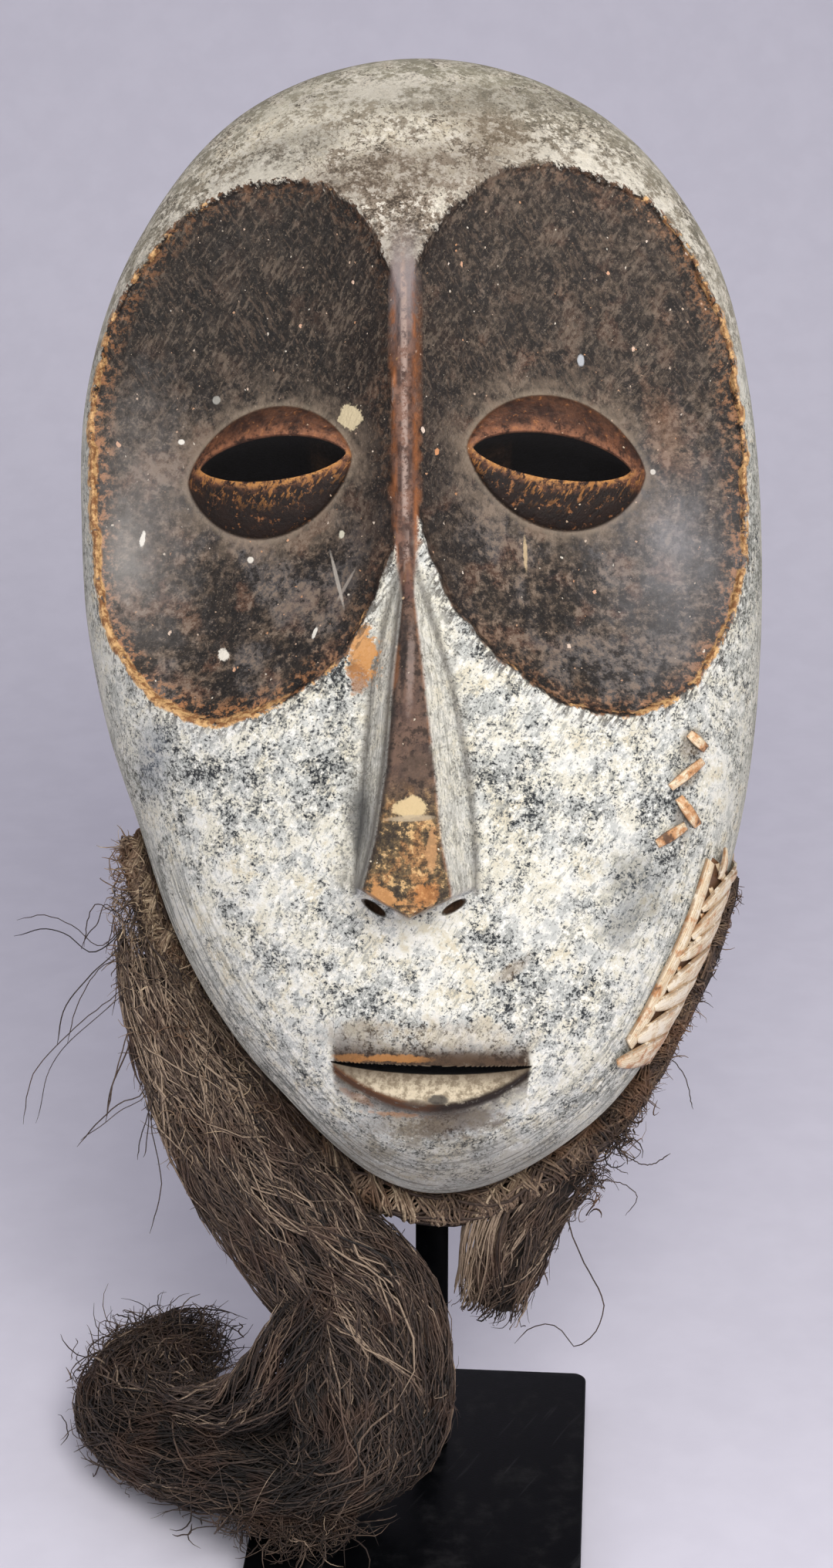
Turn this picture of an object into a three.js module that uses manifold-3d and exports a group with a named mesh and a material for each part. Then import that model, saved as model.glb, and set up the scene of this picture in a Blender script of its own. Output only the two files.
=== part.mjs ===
// Carved wooden face mask with a plaited fibre beard, leaning back on a black steel display stand.
// Millimetres, +Z up. The origin is the middle of the base plate's underside and the face looks along -Y.
// The face is described in its own frame: right (x), up the face (h) and depth (d), which is measured
// from the flat back rim towards the viewer. The whole frame leans back on the stand.
import * as THREE from 'three';
import { mergeVertices } from 'three/addons/utils/BufferGeometryUtils.js';
import Module from 'manifold-3d';

const wasm = await Module();
wasm.setup();

// Placement of the face on its stand
const lean = 22 * Math.PI / 180;
const faceOrigin = new THREE.Vector3(0.7, 85.7, 316.6);

// Outline of the face: radii at equal turns, anticlockwise from the viewer's right
const outline = [120, 126, 143, 171, 195, 204, 196, 171.5, 147, 127.5,
  119, 117.5, 123.5, 143, 169.5, 199, 185.5, 157.5, 136, 123.5];
const edgeFullness = 2.8;
const crownDepths = [[-200, 100], [-180, 98], [-150, 94], [-110, 86], [-60, 82], [0, 83],
  [60, 86], [110, 87], [150, 80], [200, 62]];

// Hollow behind the face
const rimWidth = 11;
const hollowFullness = 3.4;
const hollowDepths = [[-200, 48], [-150, 58], [-100, 60], [-40, 54], [20, 40], [60, 38], [110, 38],
  [150, 34], [200, 26]];

// Eye sockets: middle, slope and level of the dish, and radii of its rim at equal turns
const sockets = [
  { x: -60, h: 58, tilt: 0.38, floor: 63,
    radii: [50.5, 55.7, 77.6, 93.3, 84.5, 70.2, 59.5, 54.6, 58.8, 76.2, 91.8, 84, 67.9, 56.2] },
  { x: 53, h: 61, tilt: -0.36, floor: 63,
    radii: [57.2, 60.1, 70.9, 88.4, 95.3, 83.1, 63, 56.9, 60.8, 69.7, 83, 93.9, 80.2, 63.4] },
];
const socketEdge = 2.5;
const socketHollow = 12;

// Eyes: corners and the highest and lowest point of the lids, then of the slit
const eyes = [
  { inner: [-24, 55], outer: [-81, 49], lidUp: 22, lidDown: 23, slitIn: [-26, 56.5], slitOut: [-76.5, 53.5],
    slitUp: 8.6, slitDown: 7.2 },
  { inner: [14.5, 58.5], outer: [76.5, 52], lidUp: 22.5, lidDown: 23.5, slitIn: [16.5, 58.5], slitOut: [71, 53],
    slitUp: 8.6, slitDown: 7.4 },
];
const lidRise = 9;
const lidEdge = 0.8;
const slitFall = 0.22;

// Nose: level, left foot, left and right edge of the flat ridge, right foot, rise above the face
const noseSections = [
  { h: 22, feet: [-6.4, -4.2], ridge: [-5.8, -4.8], rise: 0.8 },
  { h: 4, feet: [-12, 1.5], ridge: [-7.6, -2.6], rise: 6 },
  { h: -20, feet: [-17.5, 9], ridge: [-10.2, 0.2], rise: 11 },
  { h: -48, feet: [-20.5, 14.5], ridge: [-12.4, 3.4], rise: 16.5 },
  { h: -72, feet: [-22, 17], ridge: [-16, 5.6], rise: 21 },
  { h: -89, feet: [-23, 17.5], ridge: [-20.5, 9], rise: 24 },
];
const noseTip = { x: -4.9, h: -98.5 };
const noseRoot = 9;
const nostrils = [[-14, -95], [8, -95.5]];
const nostrilHalf = [4.6, 8, 4];

// Mouth: corners of the slit, opening and the lower lip
const mouth = { left: [-31.5, -147.6], right: [36.5, -149], open: 3.6, lip: 12.5, lipRise: 3.6, underLip: 5,
  upperLip: 6, root: 8 };

// Beard band round the jaw
const band = { from: 216, to: 321, clear: 0.6, ends: 4, middle: 7.6, depth: 6.5, back: 2, nub: 0.9, knobs: 20 };

// Cane lashing on the right rim and stitches over the old crack
const lashing = { from: -39, to: -62, wraps: 7, width: 4.2, thick: 1.3, slant: 2.6, lift: 0.7,
  runner: [0.1, 0.18], reach: [0.08, 0.3] };
const stitches = [
  [[89.5, -37.5], [95.5, -42.5]],
  [[83, -55.5], [94.5, -46.5]],
  [[86, -59], [93, -68.5]],
  [[78.5, -74.5], [88.5, -68.5]],
];
const stitchWidth = 3.2;
const stitchThick = 1.2;

// Fibre bundles: middle of each section, half width in the plane of the bend, half width across it, heading
const hankSections = [
  { at: [-105, 57, 247], half: [3.5, 3], across: 0 },
  { at: [-102, 45, 226], half: [9, 6], across: 0 },
  { at: [-93, 32, 196], half: [15, 9], across: 0 },
  { at: [-77, 20, 166], half: [22, 12], across: 0 },
  { at: [-59, 9, 138], half: [29, 14], across: 0 },
  { at: [-41, 0, 114], half: [34, 15], across: 0 },
  { at: [-25, -8, 92], half: [34, 15.5], across: 0 },
  { at: [-20, -15, 70], half: [32, 18], across: 0 },
  { at: [-22, -20, 50], half: [29, 23], across: 0 },
  { at: [-38, -18, 34], half: [19, 28], across: -8 },
  { at: [-60, -8, 30], half: [16, 30], across: -22 },
  { at: [-82, 7, 24], half: [17, 30], across: -40 },
  { at: [-102, 30, 20], half: [17, 28], across: -66 },
  { at: [-107, 56, 19], half: [16, 25], across: -96 },
  { at: [-97, 78, 18], half: [15, 21], across: -128 },
  { at: [-80, 91, 17], half: [13, 17], across: -150 },
  { at: [-64, 97, 15], half: [8, 10], across: -164 },
];
const tuftSections = [
  { at: [62, 22, 170], half: [12, 6], across: 0 },
  { at: [56, 17, 150], half: [18, 9], across: 0 },
  { at: [43, 12, 122], half: [17, 10], across: 0 },
  { at: [32, 10, 98], half: [14, 9], across: 0 },
  { at: [26, 9, 82], half: [12.5, 7], across: 0 },
];

// Display stand
const base = { width: 120, depth: 156, thick: 12, corner: 5, turn: -4 * Math.PI / 180 };
const stem = { width: 12, x: 4, y: 28.8, top: 236 };
const yoke = { reach: 64.7, top: 149, cross: -100, depth: 12, radius: 2, bend: 14 };
const gap = 0.3;

// Smooth value at a place between stations [place, value]
function between(stations, place) {
  let k = 1;
  while (k < stations.length - 1 && place > stations[k][0]) k += 1;
  const slope = (i) => {
    const a = stations[Math.max(i - 1, 0)];
    const b = stations[Math.min(i + 1, stations.length - 1)];
    return (b[1] - a[1]) / (b[0] - a[0]);
  };
  const width = stations[k][0] - stations[k - 1][0];
  const t = THREE.MathUtils.clamp((place - stations[k - 1][0]) / width, 0, 1);
  const rise = 3 * t * t - 2 * t * t * t;
  return (1 - rise) * stations[k - 1][1] + rise * stations[k][1]
    + (t * t * t - 2 * t * t + t) * width * slope(k - 1) + (t * t * t - t * t) * width * slope(k);
}

// Radius of a closed outline at an angle, smoothly through radii at equal turns
function radiusAt(radii, angle) {
  const count = radii.length;
  const turn = THREE.MathUtils.euclideanModulo(angle / (2 * Math.PI) * count, count);
  const first = Math.floor(turn);
  const u = turn - first;
  const [a, b, c, d] = [-1, 0, 1, 2].map((step) => radii[(first + step + count) % count]);
  return 0.5 * (2 * b + (c - a) * u + (2 * a - 5 * b + 4 * c - d) * u * u + (3 * b - a - 3 * c + d) * u ** 3);
}

// Depth of a rounded shell: full in the middle, upright at its outline
function shellDepth(x, h, depths, fullness, inset) {
  const edge = Math.hypot(x, h) / (radiusAt(outline, Math.atan2(h, x)) - inset);
  return edge >= 1 ? 0 : between(depths, h) * (1 - edge ** fullness) ** (1 / fullness);
}

const faceDepth = (x, h) => shellDepth(x, h, crownDepths, edgeFullness, 0);

// A point of the face's frame as a vector
const facePoint = (x, h, d) => new THREE.Vector3(x, -d, h);

// A closed body through rings of points, with its faces turned outwards whichever way the rings run
function loft(rings) {
  const count = rings[0].length;
  const points = rings.flat();
  const faces = [];
  for (let ring = 0; ring < rings.length - 1; ring += 1) {
    for (let i = 0; i < count; i += 1) {
      const a = ring * count + i;
      const b = ring * count + (i + 1) % count;
      faces.push(a, b, b + count, a, b + count, a + count);
    }
  }
  for (const [ring, forward] of [[0, false], [rings.length - 1, true]]) {
    const middle = new THREE.Vector3();
    for (const point of rings[ring]) middle.addScaledVector(point, 1 / count);
    points.push(middle);
    for (let i = 0; i < count; i += 1) {
      const a = ring * count + i;
      const b = ring * count + (i + 1) % count;
      faces.push(points.length - 1, forward ? a : b, forward ? b : a);
    }
  }
  let volume = 0;
  for (let i = 0; i < faces.length; i += 3) {
    volume += points[faces[i]].dot(new THREE.Vector3().crossVectors(points[faces[i + 1]], points[faces[i + 2]]));
  }
  if (volume < 0) faces.reverse();
  const geometry = new THREE.BufferGeometry().setFromPoints(points);
  geometry.setIndex(faces);
  return geometry;
}

// A ring of points round a middle
function ring(count, place) {
  return Array.from({ length: count }, (_, i) => place(i / count * 2 * Math.PI));
}

function solid(geometry) {
  const bare = geometry.clone();
  bare.deleteAttribute('normal');
  bare.deleteAttribute('uv');
  const merged = mergeVertices(bare, 1e-4);
  return new wasm.Manifold(new wasm.Mesh({
    numProp: 3,
    vertProperties: new Float32Array(merged.attributes.position.array),
    triVerts: new Uint32Array(merged.index.array),
  }));
}

function surface(body) {
  const mesh = body.getMesh();
  const geometry = new THREE.BufferGeometry();
  geometry.setAttribute('position', new THREE.BufferAttribute(mesh.vertProperties, 3));
  geometry.setIndex(new THREE.BufferAttribute(mesh.triVerts, 1));
  return geometry;
}

// Shell solid with rings that crowd towards the upright edge
function shellSolid(depths, fullness, inset, rings, sides, below) {
  const layers = [];
  if (below > 0) {
    layers.push(ring(sides, (angle) => {
      const radius = radiusAt(outline, angle) - inset;
      return facePoint(radius * Math.cos(angle), radius * Math.sin(angle), -below);
    }));
  }
  for (let step = 0; step < rings; step += 1) {
    const edge = Math.cos(step / rings * Math.PI / 2) ** (2 / fullness);
    layers.push(ring(sides, (angle) => {
      const radius = edge * (radiusAt(outline, angle) - inset);
      const x = radius * Math.cos(angle);
      const h = radius * Math.sin(angle);
      return facePoint(x, h, shellDepth(x, h, depths, fullness, inset));
    }));
  }
  return loft(layers);
}

// Depth of the dish of a socket, which meets the face just under its rim
function dishDepth(socket, x, h) {
  const angle = Math.atan2(h - socket.h, x - socket.x);
  const reach = radiusAt(socket.radii, angle);
  const part = Math.min(Math.hypot(x - socket.x, h - socket.h) / reach, 1);
  const rimX = socket.x + reach * Math.cos(angle);
  const rimH = socket.h + reach * Math.sin(angle);
  const plane = (at) => socket.floor + socket.tilt * (at - socket.x);
  const rimRise = faceDepth(rimX, rimH) - socketEdge - plane(rimX);
  return plane(x) - socketHollow * (1 - part ** 2.2) + rimRise * part ** 2.6;
}

function socketCutter(socket) {
  const sides = 32;
  const steps = 7;
  const above = 130;
  const layer = (part, top) => ring(sides, (angle) => {
    const radius = part * radiusAt(socket.radii, angle);
    const x = socket.x + radius * Math.cos(angle);
    const h = socket.h + radius * Math.sin(angle);
    return facePoint(x, h, top ? above : dishDepth(socket, x, h));
  });
  const layers = [];
  for (let step = 1; step <= steps; step += 1) layers.push(layer((step / steps) ** 0.8, false));
  layers.push(layer(1, true));
  return loft(layers);
}

// Almond outline of an eye: parts along and across the line between its corners
function almond(from, to, up, down, angle, part) {
  const along = Math.cos(angle) * part;
  const lift = Math.sin(angle) >= 0 ? up : -down;
  const across = lift * Math.abs(Math.sin(angle)) ** 1.3 * part;
  const x = (from[0] + to[0]) / 2 + along * Math.abs(to[0] - from[0]) / 2;
  const slope = (to[1] - from[1]) / (to[0] - from[0]);
  return [x, (from[1] + to[1]) / 2 + slope * (x - (from[0] + to[0]) / 2) + across];
}

function lidSolid(eye, socket) {
  const sides = 24;
  const steps = 5;
  const layer = (part, lift) => ring(sides, (angle) => {
    const [x, h] = almond(eye.inner, eye.outer, eye.lidUp, eye.lidDown, angle, part);
    return facePoint(x, h, dishDepth(socket, x, h) + lift);
  });
  const layers = [layer(1, -8)];
  for (let step = 0; step < steps; step += 1) {
    const part = 1 - step / steps;
    layers.push(layer(part, lidEdge + lidRise * (1 - part * part) ** 0.7));
  }
  return loft(layers);
}

function slitSolid(eye) {
  const layer = (d) => ring(20, (angle) => {
    const [x, h] = almond(eye.slitIn, eye.slitOut, eye.slitUp, eye.slitDown, angle, 1);
    return facePoint(x, h - (70 - d) * slitFall, d);
  });
  return loft([layer(10), layer(100)]);
}

function noseSolid() {
  const layers = noseSections.map(({ h, feet, ridge, rise }, index) => {
    const last = index === noseSections.length - 1;
    const face = faceDepth((feet[0] + feet[1]) / 2, h);
    const middle = last ? noseTip.x : (ridge[0] + ridge[1]) / 2;
    return [
      facePoint(feet[0], h, face - noseRoot),
      facePoint(feet[1], h, face - noseRoot),
      facePoint(feet[1], h, face - 2),
      facePoint(feet[1] * 0.45 + ridge[1] * 0.55, h - (last ? 2 : 0), face + rise * 0.55),
      facePoint(ridge[1], h - (last ? 2.5 : 0), face + rise),
      facePoint(middle, last ? noseTip.h : h, face + rise + 1.2),
      facePoint(ridge[0], h, face + rise),
      facePoint(feet[0] * 0.45 + ridge[0] * 0.55, h, face + rise * 0.55),
      facePoint(feet[0], h, face - 2),
    ];
  });
  return loft(layers);
}

function nostrilSolid([x, h]) {
  const bulb = new THREE.SphereGeometry(1, 10, 8);
  bulb.scale(...nostrilHalf);
  bulb.translate(x, -(faceDepth(x, h) + nostrilHalf[1] + 1), h);
  return bulb;
}

// Place along the mouth, from its left to its right corner
function mouthPoint(part) {
  const x = THREE.MathUtils.lerp(mouth.left[0], mouth.right[0], part);
  const h = THREE.MathUtils.lerp(mouth.left[1], mouth.right[1], part);
  return { x, h, bow: 4 * part * (1 - part) };
}

function mouthSlit() {
  const layers = [];
  for (let step = 0; step <= 12; step += 1) {
    const { x, h, bow } = mouthPoint(0.01 + 0.98 * step / 12);
    const open = 0.3 + mouth.open * bow ** 0.8;
    layers.push([facePoint(x, h, 20), facePoint(x, h, 110), facePoint(x, h - open, 110), facePoint(x, h - open, 20)]);
  }
  return loft(layers);
}

function lowerLip() {
  const layers = [];
  for (let step = 0; step <= 14; step += 1) {
    const { x, h, bow } = mouthPoint(0.01 + 0.98 * step / 14);
    const edge = h - 1 - mouth.lip * bow;
    const under = edge - mouth.underLip * bow - 0.5;
    const rise = mouth.lipRise * bow ** 0.5;
    layers.push([
      facePoint(x, h - 0.2, faceDepth(x, h) - mouth.root),
      facePoint(x, h - 0.2, faceDepth(x, h) - 1.5 * bow - 0.4),
      facePoint(x, edge, faceDepth(x, edge) + rise),
      facePoint(x, under, faceDepth(x, under) - 1.5),
      facePoint(x, under, faceDepth(x, under) - mouth.root),
    ]);
  }
  return loft(layers);
}

function upperLip() {
  const layers = [];
  for (let step = 0; step <= 10; step += 1) {
    const { x, h, bow } = mouthPoint(0.02 + 0.96 * step / 10);
    layers.push([
      facePoint(x, h + mouth.upperLip, faceDepth(x, h + mouth.upperLip) - mouth.root),
      facePoint(x, h + mouth.upperLip, faceDepth(x, h + mouth.upperLip) - 1.5),
      facePoint(x, h, faceDepth(x, h) + 0.2 + 2.2 * bow ** 0.5),
      facePoint(x, h, faceDepth(x, h) - mouth.root),
    ]);
  }
  return loft(layers);
}

const domeRings = 15;
const domeSides = 56;
const dome = solid(shellSolid(crownDepths, edgeFullness, 0, domeRings, domeSides, 0));

function maskGeometry() {
  let mask = dome;
  for (const socket of sockets) mask = mask.subtract(solid(socketCutter(socket)));
  eyes.forEach((eye, index) => { mask = mask.add(solid(lidSolid(eye, sockets[index]))); });
  mask = mask.add(solid(noseSolid())).add(solid(lowerLip())).add(solid(upperLip()));
  mask = mask.subtract(solid(shellSolid(hollowDepths, hollowFullness, rimWidth, 9, 40, 1)));
  for (const eye of eyes) mask = mask.subtract(solid(slitSolid(eye)));
  for (const nostril of nostrils) mask = mask.subtract(solid(nostrilSolid(nostril)));
  return surface(mask.subtract(solid(mouthSlit())));
}

// Plaited band: a knobbly rope that keeps to the outside of the rim
function bandGeometry(extra) {
  const steps = 66;
  const layers = [];
  for (let step = 0; step <= steps; step += 1) {
    const part = step / steps;
    const angle = THREE.MathUtils.degToRad(THREE.MathUtils.lerp(band.from, band.to, part));
    const rim = radiusAt(outline, angle);
    const knob = 1 + band.nub / band.middle * Math.sin(part * band.knobs * 2 * Math.PI);
    const half = THREE.MathUtils.lerp(band.ends, band.middle, Math.sin(part * Math.PI) ** 0.6) * knob;
    layers.push(ring(7, (turn) => {
      const radius = rim + band.clear + half * (1 + Math.cos(turn) * (1 + extra / half));
      const d = band.back - Math.sin(turn) * (band.depth * knob + extra);
      return facePoint(radius * Math.cos(angle), radius * Math.sin(angle), d);
    }));
  }
  return loft(layers);
}

// A flat strip that follows the face through places (x, h, lift), given its width and thickness
function strip(places, width, thick) {
  const points = places.map(([x, h, d]) => facePoint(x, h, d));
  const normal = (x, h) => {
    const step = 0.5;
    const slopeX = (faceDepth(x + step, h) - faceDepth(x - step, h)) / (2 * step);
    const slopeH = (faceDepth(x, h + step) - faceDepth(x, h - step)) / (2 * step);
    return new THREE.Vector3(-slopeX, -1, -slopeH).normalize();
  };
  return loft(points.map((point, index) => {
    const next = points[Math.min(index + 1, points.length - 1)];
    const last = points[Math.max(index - 1, 0)];
    const out = normal(places[index][0], places[index][1]);
    const side = new THREE.Vector3().subVectors(next, last).cross(out).normalize();
    const corner = (across, up) => point.clone().addScaledVector(side, across * width / 2)
      .addScaledVector(out, up * thick);
    return [corner(-1, 0), corner(1, 0), corner(1, 1), corner(-1, 1)];
  }));
}

function stitchGeometry([from, to]) {
  const places = [];
  for (let step = 0; step <= 6; step += 1) {
    const part = step / 6;
    const x = THREE.MathUtils.lerp(from[0], to[0], part);
    const h = THREE.MathUtils.lerp(from[1], to[1], part);
    places.push([x, h, faceDepth(x, h) + 0.5 + 1.4 * Math.sin(part * Math.PI)]);
  }
  return strip(places, stitchWidth, stitchThick);
}

// Cane along the right rim: slanting wraps over the side of the face, tied to one runner
function lashingGeometry() {
  const sidePlace = (degrees, level, lift) => {
    const angle = THREE.MathUtils.degToRad(degrees);
    const edge = Math.cos(level * Math.PI / 2) ** (2 / edgeFullness);
    const radius = edge * radiusAt(outline, angle) + lift;
    const x = edge * radiusAt(outline, angle) * Math.cos(angle);
    const h = edge * radiusAt(outline, angle) * Math.sin(angle);
    return facePoint(radius * Math.cos(angle), radius * Math.sin(angle), faceDepth(x, h) + lift * 0.8);
  };
  const { lift, thick, runner, reach } = lashing;
  const bar = (steps, corners) => solid(loft(Array.from({ length: steps + 1 }, (_, step) =>
    corners(step / steps).map(([degrees, level, rise]) => sidePlace(degrees, level, rise)))));
  const turn = (lashing.to - lashing.from) / lashing.wraps;
  const half = THREE.MathUtils.radToDeg(lashing.width / 2 / radiusAt(outline, 2 * Math.PI * 0.86));
  let body = bar(14, (part) => {
    const degrees = THREE.MathUtils.lerp(lashing.from, lashing.to, part);
    return [[degrees, runner[0], lift], [degrees, runner[1], lift],
      [degrees, runner[1], lift + thick], [degrees, runner[0], lift + thick]];
  });
  for (let wrap = 0; wrap < lashing.wraps; wrap += 1) {
    const start = lashing.from + (wrap + 0.6) * turn;
    body = body.add(bar(4, (part) => {
      const degrees = start + lashing.slant * (0.5 - part);
      const level = THREE.MathUtils.lerp(reach[0], reach[1], part);
      return [[degrees - half, level, lift], [degrees + half, level, lift],
        [degrees + half, level, lift + thick], [degrees - half, level, lift + thick]];
    }));
  }
  return surface(body);
}

// A bundle of fibre: oval sections along a smooth line
function bundleGeometry(sections, steps, sides) {
  const line = new THREE.CatmullRomCurve3(sections.map(({ at }) => new THREE.Vector3(...at)), false, 'centripetal');
  const blend = (pick, t) => {
    const place = t * (sections.length - 1);
    return between(sections.map((section, index) => [index, pick(section)]), place);
  };
  const layers = [];
  for (let step = 0; step <= steps; step += 1) {
    const t = step / steps;
    const middle = line.getPoint(t);
    const heading = THREE.MathUtils.degToRad(blend((section) => section.across, t));
    const across = new THREE.Vector3(-Math.sin(heading), Math.cos(heading), 0);
    const tangent = line.getTangent(t);
    const inPlane = new THREE.Vector3().crossVectors(across, tangent).normalize();
    const wide = blend((section) => section.half[0], t);
    const deep = blend((section) => section.half[1], t);
    layers.push(ring(sides, (turn) => middle.clone()
      .addScaledVector(inPlane, wide * Math.cos(turn))
      .addScaledVector(across, -deep * Math.sin(turn))));
  }
  return loft(layers);
}

const faceMatrix = new THREE.Matrix4().makeRotationX(-lean).setPosition(faceOrigin);

// What a bundle must keep clear of: the mask and the band, grown by the gap
function keepClear() {
  const grown = shellSolid(crownDepths, edgeFullness, -2 * gap, domeRings, domeSides, 1);
  const around = bandGeometry(gap);
  return solid(grown.applyMatrix4(faceMatrix)).add(solid(around.applyMatrix4(faceMatrix)));
}

function plateGeometry() {
  const [w, d, r] = [base.width / 2, base.depth / 2, base.corner];
  const shape = new THREE.Shape();
  shape.moveTo(-w + r, -d).lineTo(w - r, -d).absarc(w - r, -d + r, r, -Math.PI / 2, 0);
  shape.lineTo(w, d - r).absarc(w - r, d - r, r, 0, Math.PI / 2);
  shape.lineTo(-w + r, d).absarc(-w + r, d - r, r, Math.PI / 2, Math.PI);
  shape.lineTo(-w, -d + r).absarc(-w + r, -d + r, r, Math.PI, 1.5 * Math.PI);
  return new THREE.ExtrudeGeometry(shape, { depth: base.thick, bevelEnabled: false, curveSegments: 6 });
}

// Rod bent in a U: a round section at each end and through each bend
function yokeGeometry() {
  const { reach, top, cross, depth, radius, bend } = yoke;
  const section = (x, h, heading) => ring(8, (turn) => facePoint(
    x + radius * Math.cos(turn) * Math.sin(heading),
    h - radius * Math.cos(turn) * Math.cos(heading),
    depth + radius * Math.sin(turn),
  ));
  const layers = [section(-reach, top, -Math.PI / 2)];
  for (const [side, start] of [[-1, Math.PI], [1, 1.5 * Math.PI]]) {
    for (let step = 0; step <= 6; step += 1) {
      const angle = start + step / 6 * Math.PI / 2;
      const [x, h] = [side * (reach - bend) + bend * Math.cos(angle), cross + bend + bend * Math.sin(angle)];
      layers.push(section(x, h, angle + Math.PI / 2));
    }
  }
  layers.push(section(reach, top, Math.PI / 2));
  return loft(layers);
}

const finish = (color, roughness, metalness = 0) => new THREE.MeshStandardMaterial({ color, roughness, metalness });
const clayWood = finish(0xc9c6b8, 0.75);
const fibre = finish(0x5d5047, 0.95);
const cane = finish(0xd6bd92, 0.6);
const blackSteel = finish(0x131417, 0.45, 0.6);

function named(name, geometry, material) {
  const mesh = new THREE.Mesh(geometry, material);
  mesh.name = name;
  return mesh;
}

const object = new THREE.Group();
const face = new THREE.Group();
face.position.copy(faceOrigin);
face.rotation.x = -lean;
object.add(face);

face.add(named('mask', maskGeometry(), clayWood));
face.add(named('beard_band', bandGeometry(0), fibre));
face.add(named('rim_lashing', lashingGeometry(), cane));
stitches.forEach((stitch, index) => face.add(named(`crack_stitch_${index + 1}`, stitchGeometry(stitch), cane)));
face.add(named('stand_yoke', yokeGeometry(), blackSteel));

const clear = keepClear();
const trimmed = (sections, steps, sides) => surface(solid(bundleGeometry(sections, steps, sides)).subtract(clear));
object.add(named('beard_hank', trimmed(hankSections, 34, 14), fibre));
object.add(named('beard_tuft', trimmed(tuftSections, 8, 12), fibre));

const plate = named('stand_base', plateGeometry(), blackSteel);
plate.rotation.z = base.turn;
object.add(plate);

const post = named('stand_stem', new THREE.BoxGeometry(stem.width, stem.width, stem.top - base.thick - gap), blackSteel);
post.position.set(stem.x, stem.y, (stem.top + base.thick + gap) / 2);
object.add(post);

export default object;
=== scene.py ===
import math
import random

import bmesh
import bpy
import numpy as np
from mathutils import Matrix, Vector, noise


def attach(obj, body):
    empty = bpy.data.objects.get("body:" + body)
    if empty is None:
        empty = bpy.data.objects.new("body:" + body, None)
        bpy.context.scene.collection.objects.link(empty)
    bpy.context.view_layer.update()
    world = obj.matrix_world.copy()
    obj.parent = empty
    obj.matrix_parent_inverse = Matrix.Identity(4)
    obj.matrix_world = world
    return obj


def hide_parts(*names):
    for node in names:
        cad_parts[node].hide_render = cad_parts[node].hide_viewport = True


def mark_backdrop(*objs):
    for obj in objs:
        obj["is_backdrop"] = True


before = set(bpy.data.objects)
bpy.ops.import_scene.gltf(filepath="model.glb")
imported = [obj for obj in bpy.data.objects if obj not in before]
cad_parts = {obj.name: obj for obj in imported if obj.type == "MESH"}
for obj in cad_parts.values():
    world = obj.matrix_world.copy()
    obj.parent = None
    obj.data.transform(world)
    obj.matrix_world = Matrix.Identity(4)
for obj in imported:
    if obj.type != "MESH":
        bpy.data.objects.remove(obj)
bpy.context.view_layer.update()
random.seed(41)
spread = np.random.default_rng(41)

# places on the face: right, up the face and depth in mm, as a point in metres
faceSeat = {"origin": (0.7, 85.7, 316.6), "lean": math.radians(22)}


def onFace(right, up, depth):
    x0, y0, z0 = faceSeat["origin"]
    sine, cosine = math.sin(faceSeat["lean"]), math.cos(faceSeat["lean"])
    right, up, depth = np.broadcast_arrays(*[np.asarray(v, float) for v in (right, up, depth)])
    return stacked(x0 + right, y0 + sine * up - cosine * depth, z0 + cosine * up + sine * depth) / 1000


def offFace(points):
    x, y, z = np.asarray(points).T * 1000 - np.array(faceSeat["origin"])[:, None]
    sine, cosine = math.sin(faceSeat["lean"]), math.cos(faceSeat["lean"])
    return x, sine * y + cosine * z, sine * z - cosine * y


def stacked(*columns):
    return np.stack(columns, axis=-1)


def polar(reach, angle):
    return reach * np.cos(angle), reach * np.sin(angle)


def ease(low, high, value):
    part = np.clip((value - low) / (high - low), 0, 1)
    return part * part * (3 - 2 * part)


def between(stations, place):
    # smooth value at each place between stations (place, value)
    at, value = np.array(stations, float).T
    last = len(at) - 1
    lower, upper = np.maximum(np.arange(last + 1) - 1, 0), np.minimum(np.arange(last + 1) + 1, last)
    slope = (value[upper] - value[lower]) / (at[upper] - at[lower])
    k = np.clip(np.searchsorted(at, place), 1, last)
    wide = at[k] - at[k - 1]
    t = np.clip((place - at[k - 1]) / wide, 0, 1)
    rise = t * t * (3 - 2 * t)
    return ((1 - rise) * value[k - 1] + rise * value[k]
            + (t ** 3 - 2 * t * t + t) * wide * slope[k - 1] + (t ** 3 - t * t) * wide * slope[k])


def radiusAt(radii, angle):
    # radius of a closed outline, smoothly through radii at equal turns
    radii, count = np.asarray(radii, float), len(radii)
    turn = np.mod(np.asarray(angle) / (2 * math.pi) * count, count)
    first = np.floor(turn).astype(int)
    u = turn - first
    a, b, c, d = (radii[(first + step) % count] for step in (-1, 0, 1, 2))
    square, cube = 2 * a - 5 * b + 4 * c - d, 3 * b - a - 3 * c + d
    return 0.5 * (2 * b + (c - a) * u + square * u * u + cube * u ** 3)


carving = {
    "outline": [120, 126, 143, 171, 195, 204, 196, 171.5, 147, 127.5,
                119, 117.5, 123.5, 143, 169.5, 199, 185.5, 157.5, 136, 123.5],
    "fullness": 2.8,
    "crown": [(-200, 100), (-180, 98), (-150, 94), (-110, 86), (-60, 82), (0, 83), (60, 86), (110, 87),
              (150, 80), (200, 62)],
    "rimWidth": 11,
    "hollowFullness": 3.4,
    "hollow": [(-200, 48), (-150, 58), (-100, 60), (-40, 54), (20, 40), (60, 38), (110, 38), (150, 34),
               (200, 26)],
    "columns": 192, "rows": 250,  # quads across and up the face
    "hollowColumns": 74, "hollowRows": 96,
    "fineReach": (3.4, 1.5),  # mm from an edge within which the quads are halved, and halved again
    "backDepth": 0, "hollowBack": -4,
    "leastDepth": 1.2,  # mm that the face stands over its back, and that the back is drawn in
}
relief = {"broad": 0.32, "broadSize": 17, "fine": 0.07, "fineSize": 3.2, "hollow": 0.9, "hollowSize": 14}
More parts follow.
